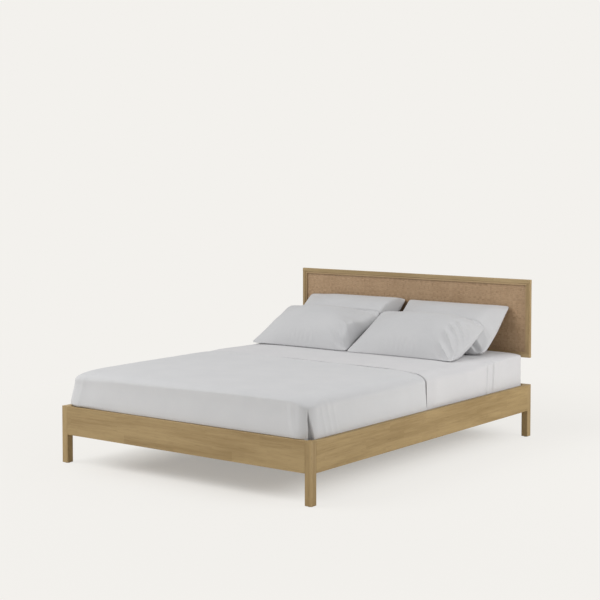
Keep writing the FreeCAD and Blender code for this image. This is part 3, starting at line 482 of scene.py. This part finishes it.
# How far the mattress, the fitted sheet and the top sheet lie outside the mattress's box.
FORM_GROW, FITTED_GROW, TOP_GROW = -0.003, 0.0008, 0.0024
# The lower edge's radius, its piping's height, place and width, and the depth of the corner folds.
BASE_RADIUS, PIPING, PIPING_AT, PIPING_WIDTH = 0.02, 0.0015, 0.026, 0.005
FOLD_DEPTH, TOP_FOLD_DEPTH = 0.018, 0.0165
# Upright folds: place, height and width, on the right side and from the foot corners round the bed.
SIDE_FOLDS = ((0.602, 0.008, 0.007), (0.628, -0.002, 0.012), (0.668, 0.009, 0.007), (0.735, 0.003, 0.02))
CORNER_FOLDS = ((-0.074, 0.003, 0.012), (0.09, 0.002, 0.010), (0.135, 0.0025, 0.012), (0.18, 0.0018, 0.010))
# Rings on the side, over the edge and on the top, and the distance within which points merge.
SHEET_RINGS, FORM_RINGS, RING_MERGE = (34, 14, 22), (24, 10, 14), 2e-4
# The top sheet's head edge on the bed's middle line, and its slope across the bed.
EDGE_AT, EDGE_SLOPE = BED_LOW[1] + 1.0125, -math.tan(math.radians(1.2))
RAIL_TOP, RAIL_IN_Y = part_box("foot_rail")[1][2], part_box("foot_rail")[1][1]
RAIL_IN_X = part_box("side_rail_right")[0][0]
TUCK_LOW, TUCK_HIGH = RAIL_TOP + 0.0014, RAIL_TOP + 0.0024


def above_base(z):
    """Height over the mattress's underside."""
    return z - BED_LOW[2]


def below_top(z):
    """Depth under the mattress's top."""
    return BED_HIGH[2] - z


def lower_down(z, start, depth):
    """0 above a height over the mattress's underside, growing to 1 at a depth below that height."""
    return step_up(start - above_base(z), 0, depth)


def on_side(z):
    """0 on the top, 1 on the sides."""
    return step_up(below_top(z), 0, 0.05)


def hanging(z, held=(0.045, 0.085)):
    """How far down a place lies: 0 on the top, 1 on the sides, and 0 again where the rails hold the cloth."""
    return step_up(below_top(z), -0.002, 0.014) * step_up(above_base(z), *held)


def edge_line(x):
    """Where the top sheet's head edge lies along the bed."""
    return EDGE_AT + EDGE_SLOPE * x


def profile(hem, grow, rings, extra=()):
    """Inset and height of the bedding from a hem to the middle of the top.

    Straight up to the shoulder, a quarter ellipse over the edge, then a slow rise to a flat top. Extra
    heights give further rings on the side.
    """
    side_rings, edge_rings, top_rings = rings
    top = BED_HIGH[2] + grow
    shoulder = top - CROWN - EDGE_DROP
    side = np.sort(np.append(np.linspace(BED_LOW[2] + hem, shoulder, side_rings, endpoint=False), extra))
    turn = np.linspace(0, math.pi / 2, edge_rings, endpoint=False)
    flat = np.linspace(EDGE_RUN, BED_HALF[0] + grow, top_rings)
    left = np.clip(1 - (flat - EDGE_RUN) / CROWN_RUN, 0, 1)
    inset = np.concatenate([side * 0, EDGE_RUN * (1 - np.cos(turn)), flat])
    height = np.concatenate([side, shoulder + EDGE_DROP * np.sin(turn), top - CROWN * left ** 2])
    return inset, height


def outward(inset, height, angle):
    """Outward normals of a ring surface from its profile's slope and each ring point's bearing."""
    rise, run = np.gradient(height), np.gradient(inset)
    size = np.hypot(rise, run) + 1e-12
    flat, up = (rise / size)[:, None], (run / size)[:, None]
    return np.stack([flat * np.cos(angle), flat * np.sin(angle), up + 0 * angle], -1)


def corner_radius(inset, grow, start):
    """Plan radius of a ring: a starting radius at the mattress's side, rounder towards the middle."""
    room = BED_HALF[0] + grow - inset
    inner = np.clip(inset / (EDGE_RUN + CROWN_RUN), 0, 1)
    return np.clip(start + grow + INNER_ROUNDNESS * inner * (room - start), 0, room)


def ring_walk(pieces):
    """Corner signs and bearing along a walk round a rounded rectangle, side by side and arc by arc."""
    rows = []
    for first, second, start, end, share in pieces:
        angle = np.radians(start + (end - start) * share)
        x = first[0] + (second[0] - first[0]) * share
        y = first[1] + (second[1] - first[1]) * share
        rows.append(np.stack([x, y, angle]))
    return np.concatenate(rows, 1)


def ring_points(walk, inset, height, grow):
    """Points of the rings: a corner centre carried along the walk, plus the ring's radius at its bearing."""
    across, along, angle = walk
    head_share = (along + 1) / 2
    radius = (corner_radius(inset, grow, FOOT_CORNER)[:, None] * (1 - head_share)
              + corner_radius(inset, grow, HEAD_CORNER)[:, None] * head_share)
    core_x = BED_HALF[0] - inset[:, None] + grow - radius
    core_y = BED_HALF[1] - inset[:, None] + grow - radius
    x = across * core_x + radius * np.cos(angle)
    y = BED_MIDDLE_Y + along * core_y + radius * np.sin(angle)
    return np.stack([x, y, np.broadcast_to(height[:, None], x.shape)], -1)


def crowded(count, crowds):
    """Shares from 0 to 1, closer together about crowds; each crowd is a centre, a width and a weight."""
    fine = np.linspace(0, 1, 4001)
    density = 1 + sum(weight * bump_at(fine, centre, width) for centre, width, weight in crowds)
    walked = np.concatenate([[0], np.cumsum((density[1:] + density[:-1]) / 2)])
    return np.interp(np.linspace(0, walked[-1], count + 1), walked, fine)[:-1]


def long_side(x, count):
    """Shares along a long side from foot to head, crowded at the top sheet's edge and at the side's folds."""
    start, reach = BED_LOW[1] + FOOT_CORNER, 2 * (BED_HALF[1] - FOOT_CORNER)
    crowds = [((edge_line(x) - start) / reach, 0.018, 7)]
    return crowded(count, crowds + [((fold[0] - start) / reach, 0.02, 2) for fold in SIDE_FOLDS])


LONG_COUNT, SHORT_COUNT, ARC_COUNT = 230, 130, 28
LONG_RIGHT = long_side(BED_HALF[0], LONG_COUNT)
LONG_LEFT = 1 - long_side(-BED_HALF[0], LONG_COUNT)[::-1]
SHORT = np.linspace(0, 1, SHORT_COUNT, endpoint=False)
ARC = np.linspace(0, 1, ARC_COUNT, endpoint=False)
# The walk round the bed, against the clock from the foot's right corner.
ROUND_BED = ring_walk([
    ((1, -1), (1, 1), 0, 0, LONG_RIGHT), ((1, 1), (1, 1), 0, 90, ARC),
    ((1, 1), (-1, 1), 90, 90, SHORT), ((-1, 1), (-1, 1), 90, 180, ARC),
    ((-1, 1), (-1, -1), 180, 180, LONG_LEFT - LONG_LEFT[0]), ((-1, -1), (-1, -1), 180, 270, ARC),
    ((-1, -1), (1, -1), 270, 270, SHORT), ((1, -1), (1, -1), 270, 360, ARC)])
ROUND_BEARING = ROUND_BED[2]


def square_up(points, grow):
    """Fills out the top edge towards the head and along the foot, where the shoulder is squarer."""
    at_head, at_foot, more_right = 0.55, 0.2, 0.35
    top = BED_HIGH[2] + grow
    x, y, z = np.moveaxis(points, -1, 0)
    foot = at_foot + more_right * step_up(x, -0.6, 0.5)
    foot = foot * (1 - step_up(x, 0.66, 0.77)) * (1 - step_up(-x, 0.45, 0.68))
    share = at_head * step_up(y, 0.35, 0.85) + foot * step_up(-y, 0.70, 0.95)
    share = share * step_up(z, BED_LOW[2] + 0.12, top - CROWN - EDGE_DROP)
    points[..., 2] += share * (top - z)


def close_middle(points, row):
    """Brings the two long sides of an innermost ring together, so that they merge into one seam."""
    left = LONG_COUNT + 2 * ARC_COUNT + SHORT_COUNT
    middle = (points[row, 1:LONG_COUNT] + points[row, left + 1:left + LONG_COUNT][::-1]) / 2
    points[row, 1:LONG_COUNT], points[row, left + 1:left + LONG_COUNT] = middle, middle[::-1]


def fold_opening(points, angle):
    """The open folds at the foot corners: way round the bed from a fold, its half width, its nearness."""
    start, full_drop, lean, half_width, nearness = 0.192, 0.13, 0.010, 0.0115, 0.035
    x, y, z = np.moveaxis(points, -1, 0)
    bend = np.where(x > 0, angle - math.radians(315), math.radians(225) - angle) * FOOT_CORNER
    along_side = np.maximum(y - (BED_LOW[1] + FOOT_CORNER), 0)
    along_foot = np.maximum(BED_HALF[0] - FOOT_CORNER - np.abs(x), 0)
    drop = start - above_base(z)
    way = bend + along_side - along_foot - lean * step_up(drop, 0, full_drop)
    open_share = np.where(x > 0, 1.0, 0.3)
    gape = open_share * half_width * np.clip(drop / full_drop, 0, None) ** 0.9
    near = open_share * bump_at(way, 0, nearness) * step_up(drop, -0.02, 0.06) * (y < BED_LOW[1] + 0.3)
    return way, gape, near


def pressed_in(points):
    """How far the taut top sheet presses the bed in: more towards its head edge, nothing past it."""
    on_top, more_hanging, fade, stop = 0.0025, 0.0045, 0.07, 0.002
    x, y, z = np.moveaxis(points, -1, 0)
    past = y - edge_line(x)
    below = np.where(past < stop, np.exp(np.clip(past, None, 0) / fade), 0)
    return (on_top + more_hanging * hanging(z)) * below


def swollen(points):
    """How far the bed swells past the top sheet's edge: a slit on the sides, a step, then a slow fall."""
    slit_depth, slit_at, slit_width = 0.016, 0.0055, 0.0040
    brow_depth, brow_at = 0.008, 0.024
    step_top, step_side, swell_side, left_share = 0.0042, 0.0034, 0.010, 0.4
    x, y, z = np.moveaxis(points, -1, 0)
    past, hang = y - edge_line(x), hanging(z)
    slit = slit_depth + brow_depth * bump_at(below_top(z), brow_at, brow_at)
    slit = slit * hanging(z, held=(0.030, 0.050)) * bump_at(past, slit_at, slit_width)
    step_at, step_width = 0.002 + 0.007 * hang, 0.0015 + 0.0025 * hang
    rise = np.clip((past - step_at) / step_width, 0, 1)
    swell = step_top - step_side * hang
    swell = swell + swell_side * step_up(past, 0.0, 0.10) * hang * np.where(x > 0, 1, left_share)
    return swell * rise * (1 - step_up(past, 0.08, 0.40)) - slit


def lip(points):
    """How far the step leans over towards the sheet's edge: most at its brow, and nothing further on."""
    on_top, more_hanging, brow_width, fade_end = 0.0026, 0.0032, 0.0006, 0.03
    x, y, z = np.moveaxis(points, -1, 0)
    past, hang = y - edge_line(x), hanging(z)
    start, brow = 0.0022 + 0.007 * hang, 0.0034 + 0.0095 * hang
    brim = step_up(past, start, brow) * (1 - step_up(past, brow + brow_width, fade_end))
    off_middle = step_up(np.abs(x), 0.025, 0.07)
    return (on_top + more_hanging * hang) * brim * off_middle


def shaped_by_sheet(points, normal):
    """Draws the bed in under the top sheet and at the corner folds, and lets it swell past the sheet."""
    near = fold_opening(points, ROUND_BEARING)[2]
    depth = FOLD_DEPTH * near + pressed_in(points) - swollen(points)
    return points - normal * depth[..., None]


def upright_folds(place, folds, slant):
    """Soft folds that stand up the side: a hump at each fold's place, moved by a slant."""
    return sum(tall * bump_at(place, at + slant, wide) for at, tall, wide in folds)


def tucked_in(points, room):
    """Draws cloth in below the rails' top, so that it lies over the rails and goes down clear inside them."""
    x, y, z = np.moveaxis(points, -1, 0)
    free = 0.03 * step_up(z, TUCK_LOW, TUCK_HIGH)
    reach = RAIL_IN_X - room + free
    return np.stack([np.clip(x, -reach, reach), np.maximum(y, RAIL_IN_Y + room - free), z], -1)


def make_mattress():
    """A foam mattress: rings from the middle of its underside, round its lower edge, up and over the top."""
    under_rings, turn_rings, lowest = 8, 6, 0.0005
    turn = np.linspace(0, math.pi / 2, turn_rings, endpoint=False)
    under = np.linspace(BED_HALF[0], BASE_RADIUS, under_rings, endpoint=False)
    inset, height = profile(BASE_RADIUS, FORM_GROW, FORM_RINGS)
    inset = np.concatenate([under, BASE_RADIUS * (1 - np.sin(turn)), inset])
    height = np.concatenate([under * 0 + BED_LOW[2], BED_LOW[2] + BASE_RADIUS * (1 - np.cos(turn)), height])
    points = ring_points(ROUND_BED, inset, height, FORM_GROW)
    close_middle(points, 0)
    close_middle(points, -1)
    normal = outward(inset, height, ROUND_BEARING)
    points += normal * (PIPING * bump_at(above_base(height), PIPING_AT, PIPING_WIDTH))[:, None, None]
    square_up(points, FORM_GROW)
    points = shaped_by_sheet(points, normal)
    points[..., 2] = np.maximum(points[..., 2], BED_LOW[2] + lowest)
    quads = grid_quads(*points.shape[:2], closed=True)
    piece = new_object("mattress_form", points, quads, TICKING, merge=RING_MERGE)
    join_body(piece, "mattress", "mattress_cover", "mattress")


def make_fitted_sheet():
    """A stretched sheet: rings from its gathered hem to the middle of the top, with soft upright folds."""
    hem, gather_height, gather_pitch, rail_room = 0.03, 0.0012, 0.035, 0.0034
    inset, height = profile(hem, FITTED_GROW, SHEET_RINGS)
    points = ring_points(ROUND_BED, inset, height, FITTED_GROW)
    close_middle(points, -1)
    normal = outward(inset, height, ROUND_BEARING)
    x, y, z = np.moveaxis(points, -1, 0)
    side = on_side(z)
    calm = 1 - 0.8 * step_up(y, 0.2, 0.4) * (1 - side)
    lift = ripples(points, seed=11, count=10, short=0.2, long=0.6, tall=0.0012) * calm
    right_side = (x > 0.6) * side * step_up(above_base(z), 0.05, 0.085)
    lift = lift + right_side * upright_folds(y, SIDE_FOLDS, 0.1 * (z - 0.42))
    gathers = np.sin(ROUND_BEARING * 3 + (x + y) * 2 * math.pi / gather_pitch)
    lift = lift + lower_down(z, 0.075, 0.05) * gather_height * gathers
    points += normal * lift[..., None]
    square_up(points, FITTED_GROW)
    points = shaped_by_sheet(points, normal)
    points[..., 1] -= lip(points)
    points = tucked_in(points, rail_room)
    quads = grid_quads(*points.shape[:2], closed=True)
    piece = new_object("fitted_sheet_cloth", points, quads, FITTED_COTTON, merge=RING_MERGE)
    join_body(piece, "mattress", "sheet", "fitted_sheet")


def top_sheet_walk(inset, height):
    """The top sheet's rings, from its head edge down one side, round the foot and back up the other side."""
    arc_count, side_count = 70, 140
    arc = np.linspace(0, 1, arc_count, endpoint=False)
    middle = ring_walk([((-1, -1), (-1, -1), 180, 270, arc), ((-1, -1), (1, -1), 270, 270, SHORT),
                        ((1, -1), (1, -1), 270, 360, np.linspace(0, 1, arc_count + 1))])
    foot = ring_points(middle, inset, height, TOP_GROW)
    share = crowded(side_count, [(0, 0.022, 9), (1, 0.12, 1)])
    sides = []
    for corner in (foot[:, 0], foot[:, -1]):
        x = corner[:, 0]
        edge_y = edge_line(x)
        y = edge_y[:, None] + (corner[:, 1] - edge_y)[:, None] * share
        sides.append(np.stack([x[:, None] + 0 * y, y, height[:, None] + 0 * y], -1))
    points = np.concatenate([sides[0], foot, sides[1][:, ::-1]], 1)
    angle = np.concatenate([np.full(side_count, math.pi), middle[2], np.full(side_count, 2 * math.pi)])
    return points, angle


def make_top_sheet():
    """A laid sheet over the foot half, tucked in at sides and foot, with an open fold at each foot corner."""
    hem, clear, cloth, rail_room = 0.036, 0.001, 0.0012, 0.0018
    inset, height = profile(hem, TOP_GROW, SHEET_RINGS, (TUCK_LOW, TUCK_HIGH))
    points, angle = top_sheet_walk(inset, height)
    square_up(points, TOP_GROW)
    normal = outward(inset, height, angle)
    x, z = points[..., 0], points[..., 2]
    side = on_side(z)
    uneven = ripples(points, seed=21, count=12, short=0.2, long=0.7, tall=0.0016)
    lift = clear + uneven * (1 - 0.5 * side)
    flare = 0.0075 * lower_down(z, 0.19, 0.13)
    way, gape, near = fold_opening(points, angle)
    flap = 0.004 * np.exp(-np.abs(way) / 0.06) * lower_down(z, 0.215, 0.08)
    open_here = step_up(gape - np.abs(way), -0.002, 0.002) * (gape > 0)
    lift = lift + side * upright_folds(way, CORNER_FOLDS, -0.12 * (z - 0.35))
    belly = step_up(above_base(z), 0.063, 0.072) * (1 - step_up(above_base(z), 0.075, 0.18))
    belly = 0.012 * belly * (x < 0) * bump_at(way, 0, 0.16)
    outer = lift + flare + flap + belly - pressed_in(points)
    inner = clear - TOP_FOLD_DEPTH * near
    points = points + normal * (outer * (1 - open_here) + inner * open_here)[..., None]
    points = tucked_in(points, rail_room)
    piece = new_object("top_sheet_cloth", points, grid_quads(*points.shape[:2]), SHEET_COTTON, merge=1e-5)
    thick = piece.modifiers.new("cloth_thickness", "SOLIDIFY")
    thick.thickness = cloth
    thick.offset = 1
    join_body(piece, "mattress", "sheet", "top_sheet")


# Pillows. What would go into the sheet or the headboard is flattened to a share of its depth.
PILLOW_DEPTH, SETTLE, LEANING_GAP = 0.430, -0.0035, 0.003
PILLOW_COLUMNS, PILLOW_ROWS = 110, 72
PILLOW_BED = BED_HIGH[2] + 0.0026
PILLOW_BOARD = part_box("headboard_top_rail")[0][1] - 0.0006
FLATTENED, SEAM_MERGE = 0.01, 1e-6


def dome(value, power, ease=1.0):
    """A hump that is 1 in the middle and 0 at plus and minus 1."""
    return np.clip(1 - np.abs(value) ** power, 0, 1) ** ease


class Pillow:
    """How one pillow lies and how full it is.

    Lean is in degrees, and each end droops by some of them. Reach moves the left and the right end. Drawn_in
    is how far the lower and the upper edge stop short of the full depth. Corners are the powers that round
    the outline: lower left, lower right, upper left, upper right. Thick is the fullness of front and back.
    At the right end, end_share is the slope's share of the half length, gathers are the ridges' height, how
    far up they go and where the first one starts, and slack is how far the upper part is sunk.
    """

    def __init__(self, name, lean, reach, drawn_in, droops, corners, thick, end_share, gathers, seed,
                 slack=0.0):
        self.name, self.lean, self.droops, self.corners = name, lean, droops, corners
        self.depth, self.lower_short = PILLOW_DEPTH - sum(drawn_in), drawn_in[0]
        self.thick, self.end_share, self.gathers = thick, end_share, gathers
        self.seed, self.slack = seed, slack
        low, high = (np.array(corner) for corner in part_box(name))
        self.centre = (low + high) / 2 + np.array([sum(reach) / 2, 0, SETTLE])
        self.length = high[0] - low[0] + reach[1] - reach[0]

    def lean_at(self, u):
        """Lean in radians along the length: less towards an end that droops."""
        left, right = self.droops
        return np.radians(self.lean - left * step_up(-u, 0.3, 1.05) - right * step_up(u, 0.3, 1.05))

    def front(self, u, v):
        """Half thickness of the front face: steep above the lower edge, thinning slowly to the upper one."""
        rise = np.where(v < 0, dome(v, 2.6, 0.85), dome(v, 1.8, 0.8))
        sunk = 1 - self.slack * step_up(v, -0.4, 0.3) * step_up(u, 0.25, 0.95)
        return self.thick[0] * np.where(u < 0, dome(u, 2.5), self.slope_off(u)) * rise * sunk

    def slope_off(self, u):
        """Fullness towards the right end: even, then a plain slope down to the seam."""
        left_over, bend = (1 - u) / self.end_share, 6
        return left_over / (1 + left_over ** bend) ** (1 / bend)

    def back(self, u, v):
        """Half thickness of the back face: plump where it lies on the bed, thin at the upper edge."""
        rise = np.where(v < 0, dome(v, 3, 0.6), dome(v, 1.7))
        return self.thick[1] * np.where(u < 0, dome(u, 3), dome(u, 12, 0.55)) * rise

    def creases(self, u, v):
        """Gathers of the case: sharp ridges from its right end's seam, and short tucks low on the front."""
        tall, top, first = self.gathers
        pitch, slant, tuck_height = 0.067, 0.8, 0.0026
        out, up = (1 - u) * self.length / 2, (1 + v) * self.depth / 2
        reach = step_up(out, 0, 0.03) * (1 - step_up(out, 0.06, 0.13)) * step_up(up, 0, 0.02)
        reach = reach * (1 - step_up(up, top - 0.11, top))
        turn = math.pi * ((up - slant * out) / pitch + 0.1 * np.sin(27 * up) + first)
        ridges = tall * reach * (1 - 2 * np.abs(np.sin(turn)) ** 0.7)
        low = step_up(up, 0.004, 0.03) * (1 - step_up(up, 0.05, 0.11)) * np.exp(-((u - 0.05) / 0.33) ** 4)
        return ridges + tuck_height * low * np.sin(u * 57 + 4 * v + 2 * np.sin(9 * u))

    def lower_edge(self):
        """Middle of the edge that the pillow stands on."""
        turn = math.radians(self.lean)
        down = PILLOW_DEPTH / 2 - self.lower_short
        return self.centre - down * np.array([0, math.cos(turn), math.sin(turn)])

    def placed(self, x, along, over, u):
        """Places on the bed for places along, up and out of the pillow."""
        base, turn = self.lower_edge(), self.lean_at(u)
        up = along + self.depth / 2
        return np.stack([base[0] + x, base[1] + up * np.cos(turn) - over * np.sin(turn),
                         base[2] + up * np.sin(turn) + over * np.cos(turn)], -1)

    def pushed_off(self, points):
        """Moves places inside this pillow's front out to its face, so that others lean on it."""
        deepest = -0.03
        apart = points - self.lower_edge()
        u = apart[..., 0] / (self.length / 2)
        turn = self.lean_at(np.clip(u, -1, 1))
        up = apart[..., 1] * np.cos(turn) + apart[..., 2] * np.sin(turn)
        over = apart[..., 2] * np.cos(turn) - apart[..., 1] * np.sin(turn)
        v = up / (self.depth / 2) - 1
        inside = (np.abs(u) < 1) & (np.abs(v) < 1) & (over > deepest)
        face = self.front(np.clip(u, -1, 1), np.clip(v, -1, 1)) + LEANING_GAP
        short = np.where(inside, np.clip(face - over, 0, None), 0)
        return points + short[..., None] * np.stack([0 * turn, -np.sin(turn), np.cos(turn)], -1)


def towards_edges(share, amount):
    """Grid lines from -1 to 1 that lie closer together towards the edges."""
    return np.sin(share * math.pi / 2) * amount + share * (1 - amount)


def pillow_layer(pillow, face):
    """One face of a pillow as a grid of points.

    The outline is a superellipse: a rectangle with each corner rounded by its own power, sides drawn in a
    little. The face rises from it by the pillow's half thickness, with soft unevenness and creases.
    """
    waist_ends, waist_edges = 0.018, 0.022
    u, v = np.meshgrid(towards_edges(np.linspace(-1, 1, PILLOW_COLUMNS), 0.55),
                       towards_edges(np.linspace(-1, 1, PILLOW_ROWS), 0.6))
    foot_left, foot_right, head_left, head_right = pillow.corners
    right, up = step_up(u, -1, 1), step_up(v, -1, 1)
    foot_power = foot_left * (1 - right) + foot_right * right
    head_power = head_left * (1 - right) + head_right * right
    power = foot_power * (1 - up) + head_power * up
    biggest = np.maximum(np.abs(u), np.abs(v))
    shrink = biggest / np.maximum(np.abs(u) ** power + np.abs(v) ** power, 1e-9) ** (1 / power)
    across = u * shrink * (1 - waist_ends * (1 - v ** 2) * np.abs(u) ** 3)
    along = v * shrink * (1 - waist_edges * (1 - u ** 2) * np.abs(v) ** 3)
    over = pillow.front(u, v) if face > 0 else -pillow.back(u, v)
    inside = np.clip((1 - u ** 2) * (1 - v ** 2) * 6, 0, 1)
    flat = np.stack([u * 0.34, v * 0.21, u * 0 + face * 0.1], -1)
    over = over + face * inside * ripples(flat, pillow.seed, count=9, short=0.12, long=0.4, tall=0.003)
    over = over + (pillow.creases(u, v) if face > 0 else 0)
    return np.stack([across * pillow.length / 2, along * pillow.depth / 2, over, u], -1)


def set_pillow(pillow, leans_on):
    """A pillow of two faces joined at their seam, leant back and flattened on what it touches."""
    layers = np.stack([pillow_layer(pillow, 1), pillow_layer(pillow, -1)])
    points = pillow.placed(*np.moveaxis(layers, -1, 0))
    for other in leans_on:
        points = other.pushed_off(points)
    y, z = points[..., 1], points[..., 2]
    points[..., 2] = np.where(z < PILLOW_BED, PILLOW_BED + (z - PILLOW_BED) * FLATTENED, z)
    points[..., 1] = np.where(y > PILLOW_BOARD, PILLOW_BOARD + (y - PILLOW_BOARD) * FLATTENED, y)
    quads = grid_quads(PILLOW_ROWS, PILLOW_COLUMNS)
    quads = np.concatenate([quads, quads[:, ::-1] + PILLOW_ROWS * PILLOW_COLUMNS])
    piece = new_object(f"{pillow.name}_form", points, quads, CASE_COTTON_SHADED, merge=SEAM_MERGE)
    join_body(piece, pillow.name, "pillowcase", pillow.name)


REAR = [
    Pillow("pillow_rear_left", lean=38, reach=(-0.040, 0.002), drawn_in=(0, 0.006), droops=(1, 0),
           corners=(16, 16, 22, 20), thick=(0.104, 0.070), end_share=0.07, gathers=(0.001, 0.24, -0.9),
           seed=31),
    Pillow("pillow_rear_right", lean=38, reach=(-0.016, -0.011), drawn_in=(0.018, 0.011), droops=(0, 0),
           corners=(16, 9, 34, 24), thick=(0.085, 0.070), end_share=0.22, gathers=(0.004, 0.24, -0.6),
           seed=32)]
FRONT = [
    Pillow("pillow_front_left", lean=27, reach=(-0.026, -0.012), drawn_in=(0, 0), droops=(0, 2),
           corners=(24, 16, 13, 12), thick=(0.106, 0.070), end_share=0.09, gathers=(0.008, 0.24, -0.3),
           seed=33, slack=0.6),
    Pillow("pillow_front_right", lean=27.9, reach=(-0.022, -0.003), drawn_in=(0, -0.006), droops=(0, 6),
           corners=(24, 40, 13, 9), thick=(0.102, 0.070), end_share=0.20, gathers=(0.014, 0.34, 0.0),
           seed=34)]

make_mattress()
make_fitted_sheet()
make_top_sheet()
for rear_pillow in REAR:
    set_pillow(rear_pillow, [])
for front_pillow in FRONT:
    set_pillow(front_pillow, REAR)

# Studio.
FLOOR_REACH, FLOOR_LINES = 30, 7
# Half of the patch under the bed where the painted glow that lightens the floor's shadow is least.
GLOW_CORE_HALF = (0.32, 0.80, 0)
SKY_LIGHT, LIGHT_TARGET = 0.42, (0, 0, 0.3)
SENSOR_WIDTH, LENS, SHIFT_UP = 36, 83.26, -0.1
CAMERA_PLACE = (4.4535, -5.9911, 1.516)
CAMERA_YAW, CAMERA_PITCH = math.radians(36.979), math.radians(2.942)


def make_floor():
    """A wide flat floor whose shadows near the bed are lightened by a painted glow in the backdrop's colour,
    which takes over fully farther off.
    """
    reach = np.linspace(-FLOOR_REACH, FLOOR_REACH, FLOOR_LINES)
    x, y = np.meshgrid(reach, reach)
    material = bpy.data.materials.new("studio_paper")
    material.use_nodes = True
    tree = material.node_tree
    tree.nodes.clear()
    place = add(tree, "ShaderNodeTexCoord")["Object"]
    apart = vector_math(tree, "SUBTRACT", vector_math(tree, "ABSOLUTE", place), GLOW_CORE_HALF)
    away = vector_math(tree, "LENGTH", vector_math(tree, "MAXIMUM", apart, (0, 0, 0)))
    # Painted light: a glow in the backdrop's colour lightens the floor's shadow, a third of it under the bed
    # and most of it half a metre out.
    near_painted_light = spread(tree, away, (0.0, 0.55), to=(0.36, 0.87))
    far_fade = spread(tree, away, (0.5, 2.5), to=(0.0, 0.13))
    path = add(tree, "ShaderNodeLightPath")
    painted_light_share = math_node(tree, "MULTIPLY", math_node(tree, "ADD", near_painted_light, far_fade), path["Is Camera Ray"])
    matt = add(tree, "ShaderNodeBsdfDiffuse", {"Color": PAPER})[0]
    glow = add(tree, "ShaderNodeEmission", {"Color": PAPER, "Strength": 1.0})[0]
    both = add(tree, "ShaderNodeMixShader", {0: painted_light_share, 1: matt, 2: glow})[0]
    add(tree, "ShaderNodeOutputMaterial", {"Surface": both})
    quads = grid_quads(FLOOR_LINES, FLOOR_LINES)
    floor = new_object("studio_floor", np.stack([x, y, x * 0], -1), quads, material)


def make_world():
    """A pale backdrop for the eye and for reflections, and a plain soft light for the rest."""
    world = bpy.data.worlds.new("studio")
    bpy.context.scene.world = world
    world.use_nodes = True
    tree = world.node_tree
    tree.nodes.clear()
    path = add(tree, "ShaderNodeLightPath")
    shown = math_node(tree, "ADD", math_node(tree, "ADD", path["Is Camera Ray"], path["Is Glossy Ray"]),
                      path["Is Transmission Ray"], clamp=True)
    light = add(tree, "ShaderNodeBackground", {"Color": (1, 1, 1, 1), "Strength": SKY_LIGHT})[0]
    paper = add(tree, "ShaderNodeBackground", {"Color": PAPER, "Strength": 1.0})[0]
    both = add(tree, "ShaderNodeMixShader", {0: shown, 1: light, 2: paper})[0]
    add(tree, "ShaderNodeOutputWorld", {"Surface": both})


def aimed(name, data, place, look):
    """A light or a camera put in its place and turned to look one way."""
    made = linked(name, data)
    made.location = place
    made.rotation_mode = "QUATERNION"
    made.rotation_quaternion = Vector(look).to_track_quat("-Z", "Y")
    return made


def make_light(name, place, size, power):
    """A square soft light aimed at the bed."""
    light = bpy.data.lights.new(name, "AREA")
    light.shape = "SQUARE"
    light.size = size
    light.energy = power
    aimed(name, light, place, Vector(LIGHT_TARGET) - Vector(place)).visible_camera = False


def make_camera():
    """The photograph's camera: at the foot's right, about chest high, looking slightly down."""
    camera = bpy.data.cameras.new("camera")
    camera.sensor_width = SENSOR_WIDTH
    camera.lens = LENS
    camera.shift_y = SHIFT_UP
    level = math.cos(CAMERA_PITCH)
    look = (-math.sin(CAMERA_YAW) * level, math.cos(CAMERA_YAW) * level, -math.sin(CAMERA_PITCH))
    bpy.context.scene.camera = aimed("camera", camera, CAMERA_PLACE, look)


make_floor()
make_world()
make_light("soft_left", place=(-2.6, -3.6, 5.2), size=4.0, power=237)
make_light("soft_right", place=(3.3, 0.85, 1.4), size=2.2, power=45)
make_camera()
bpy.context.scene.view_settings.view_transform = "Standard"

bpy.context.view_layer.update()
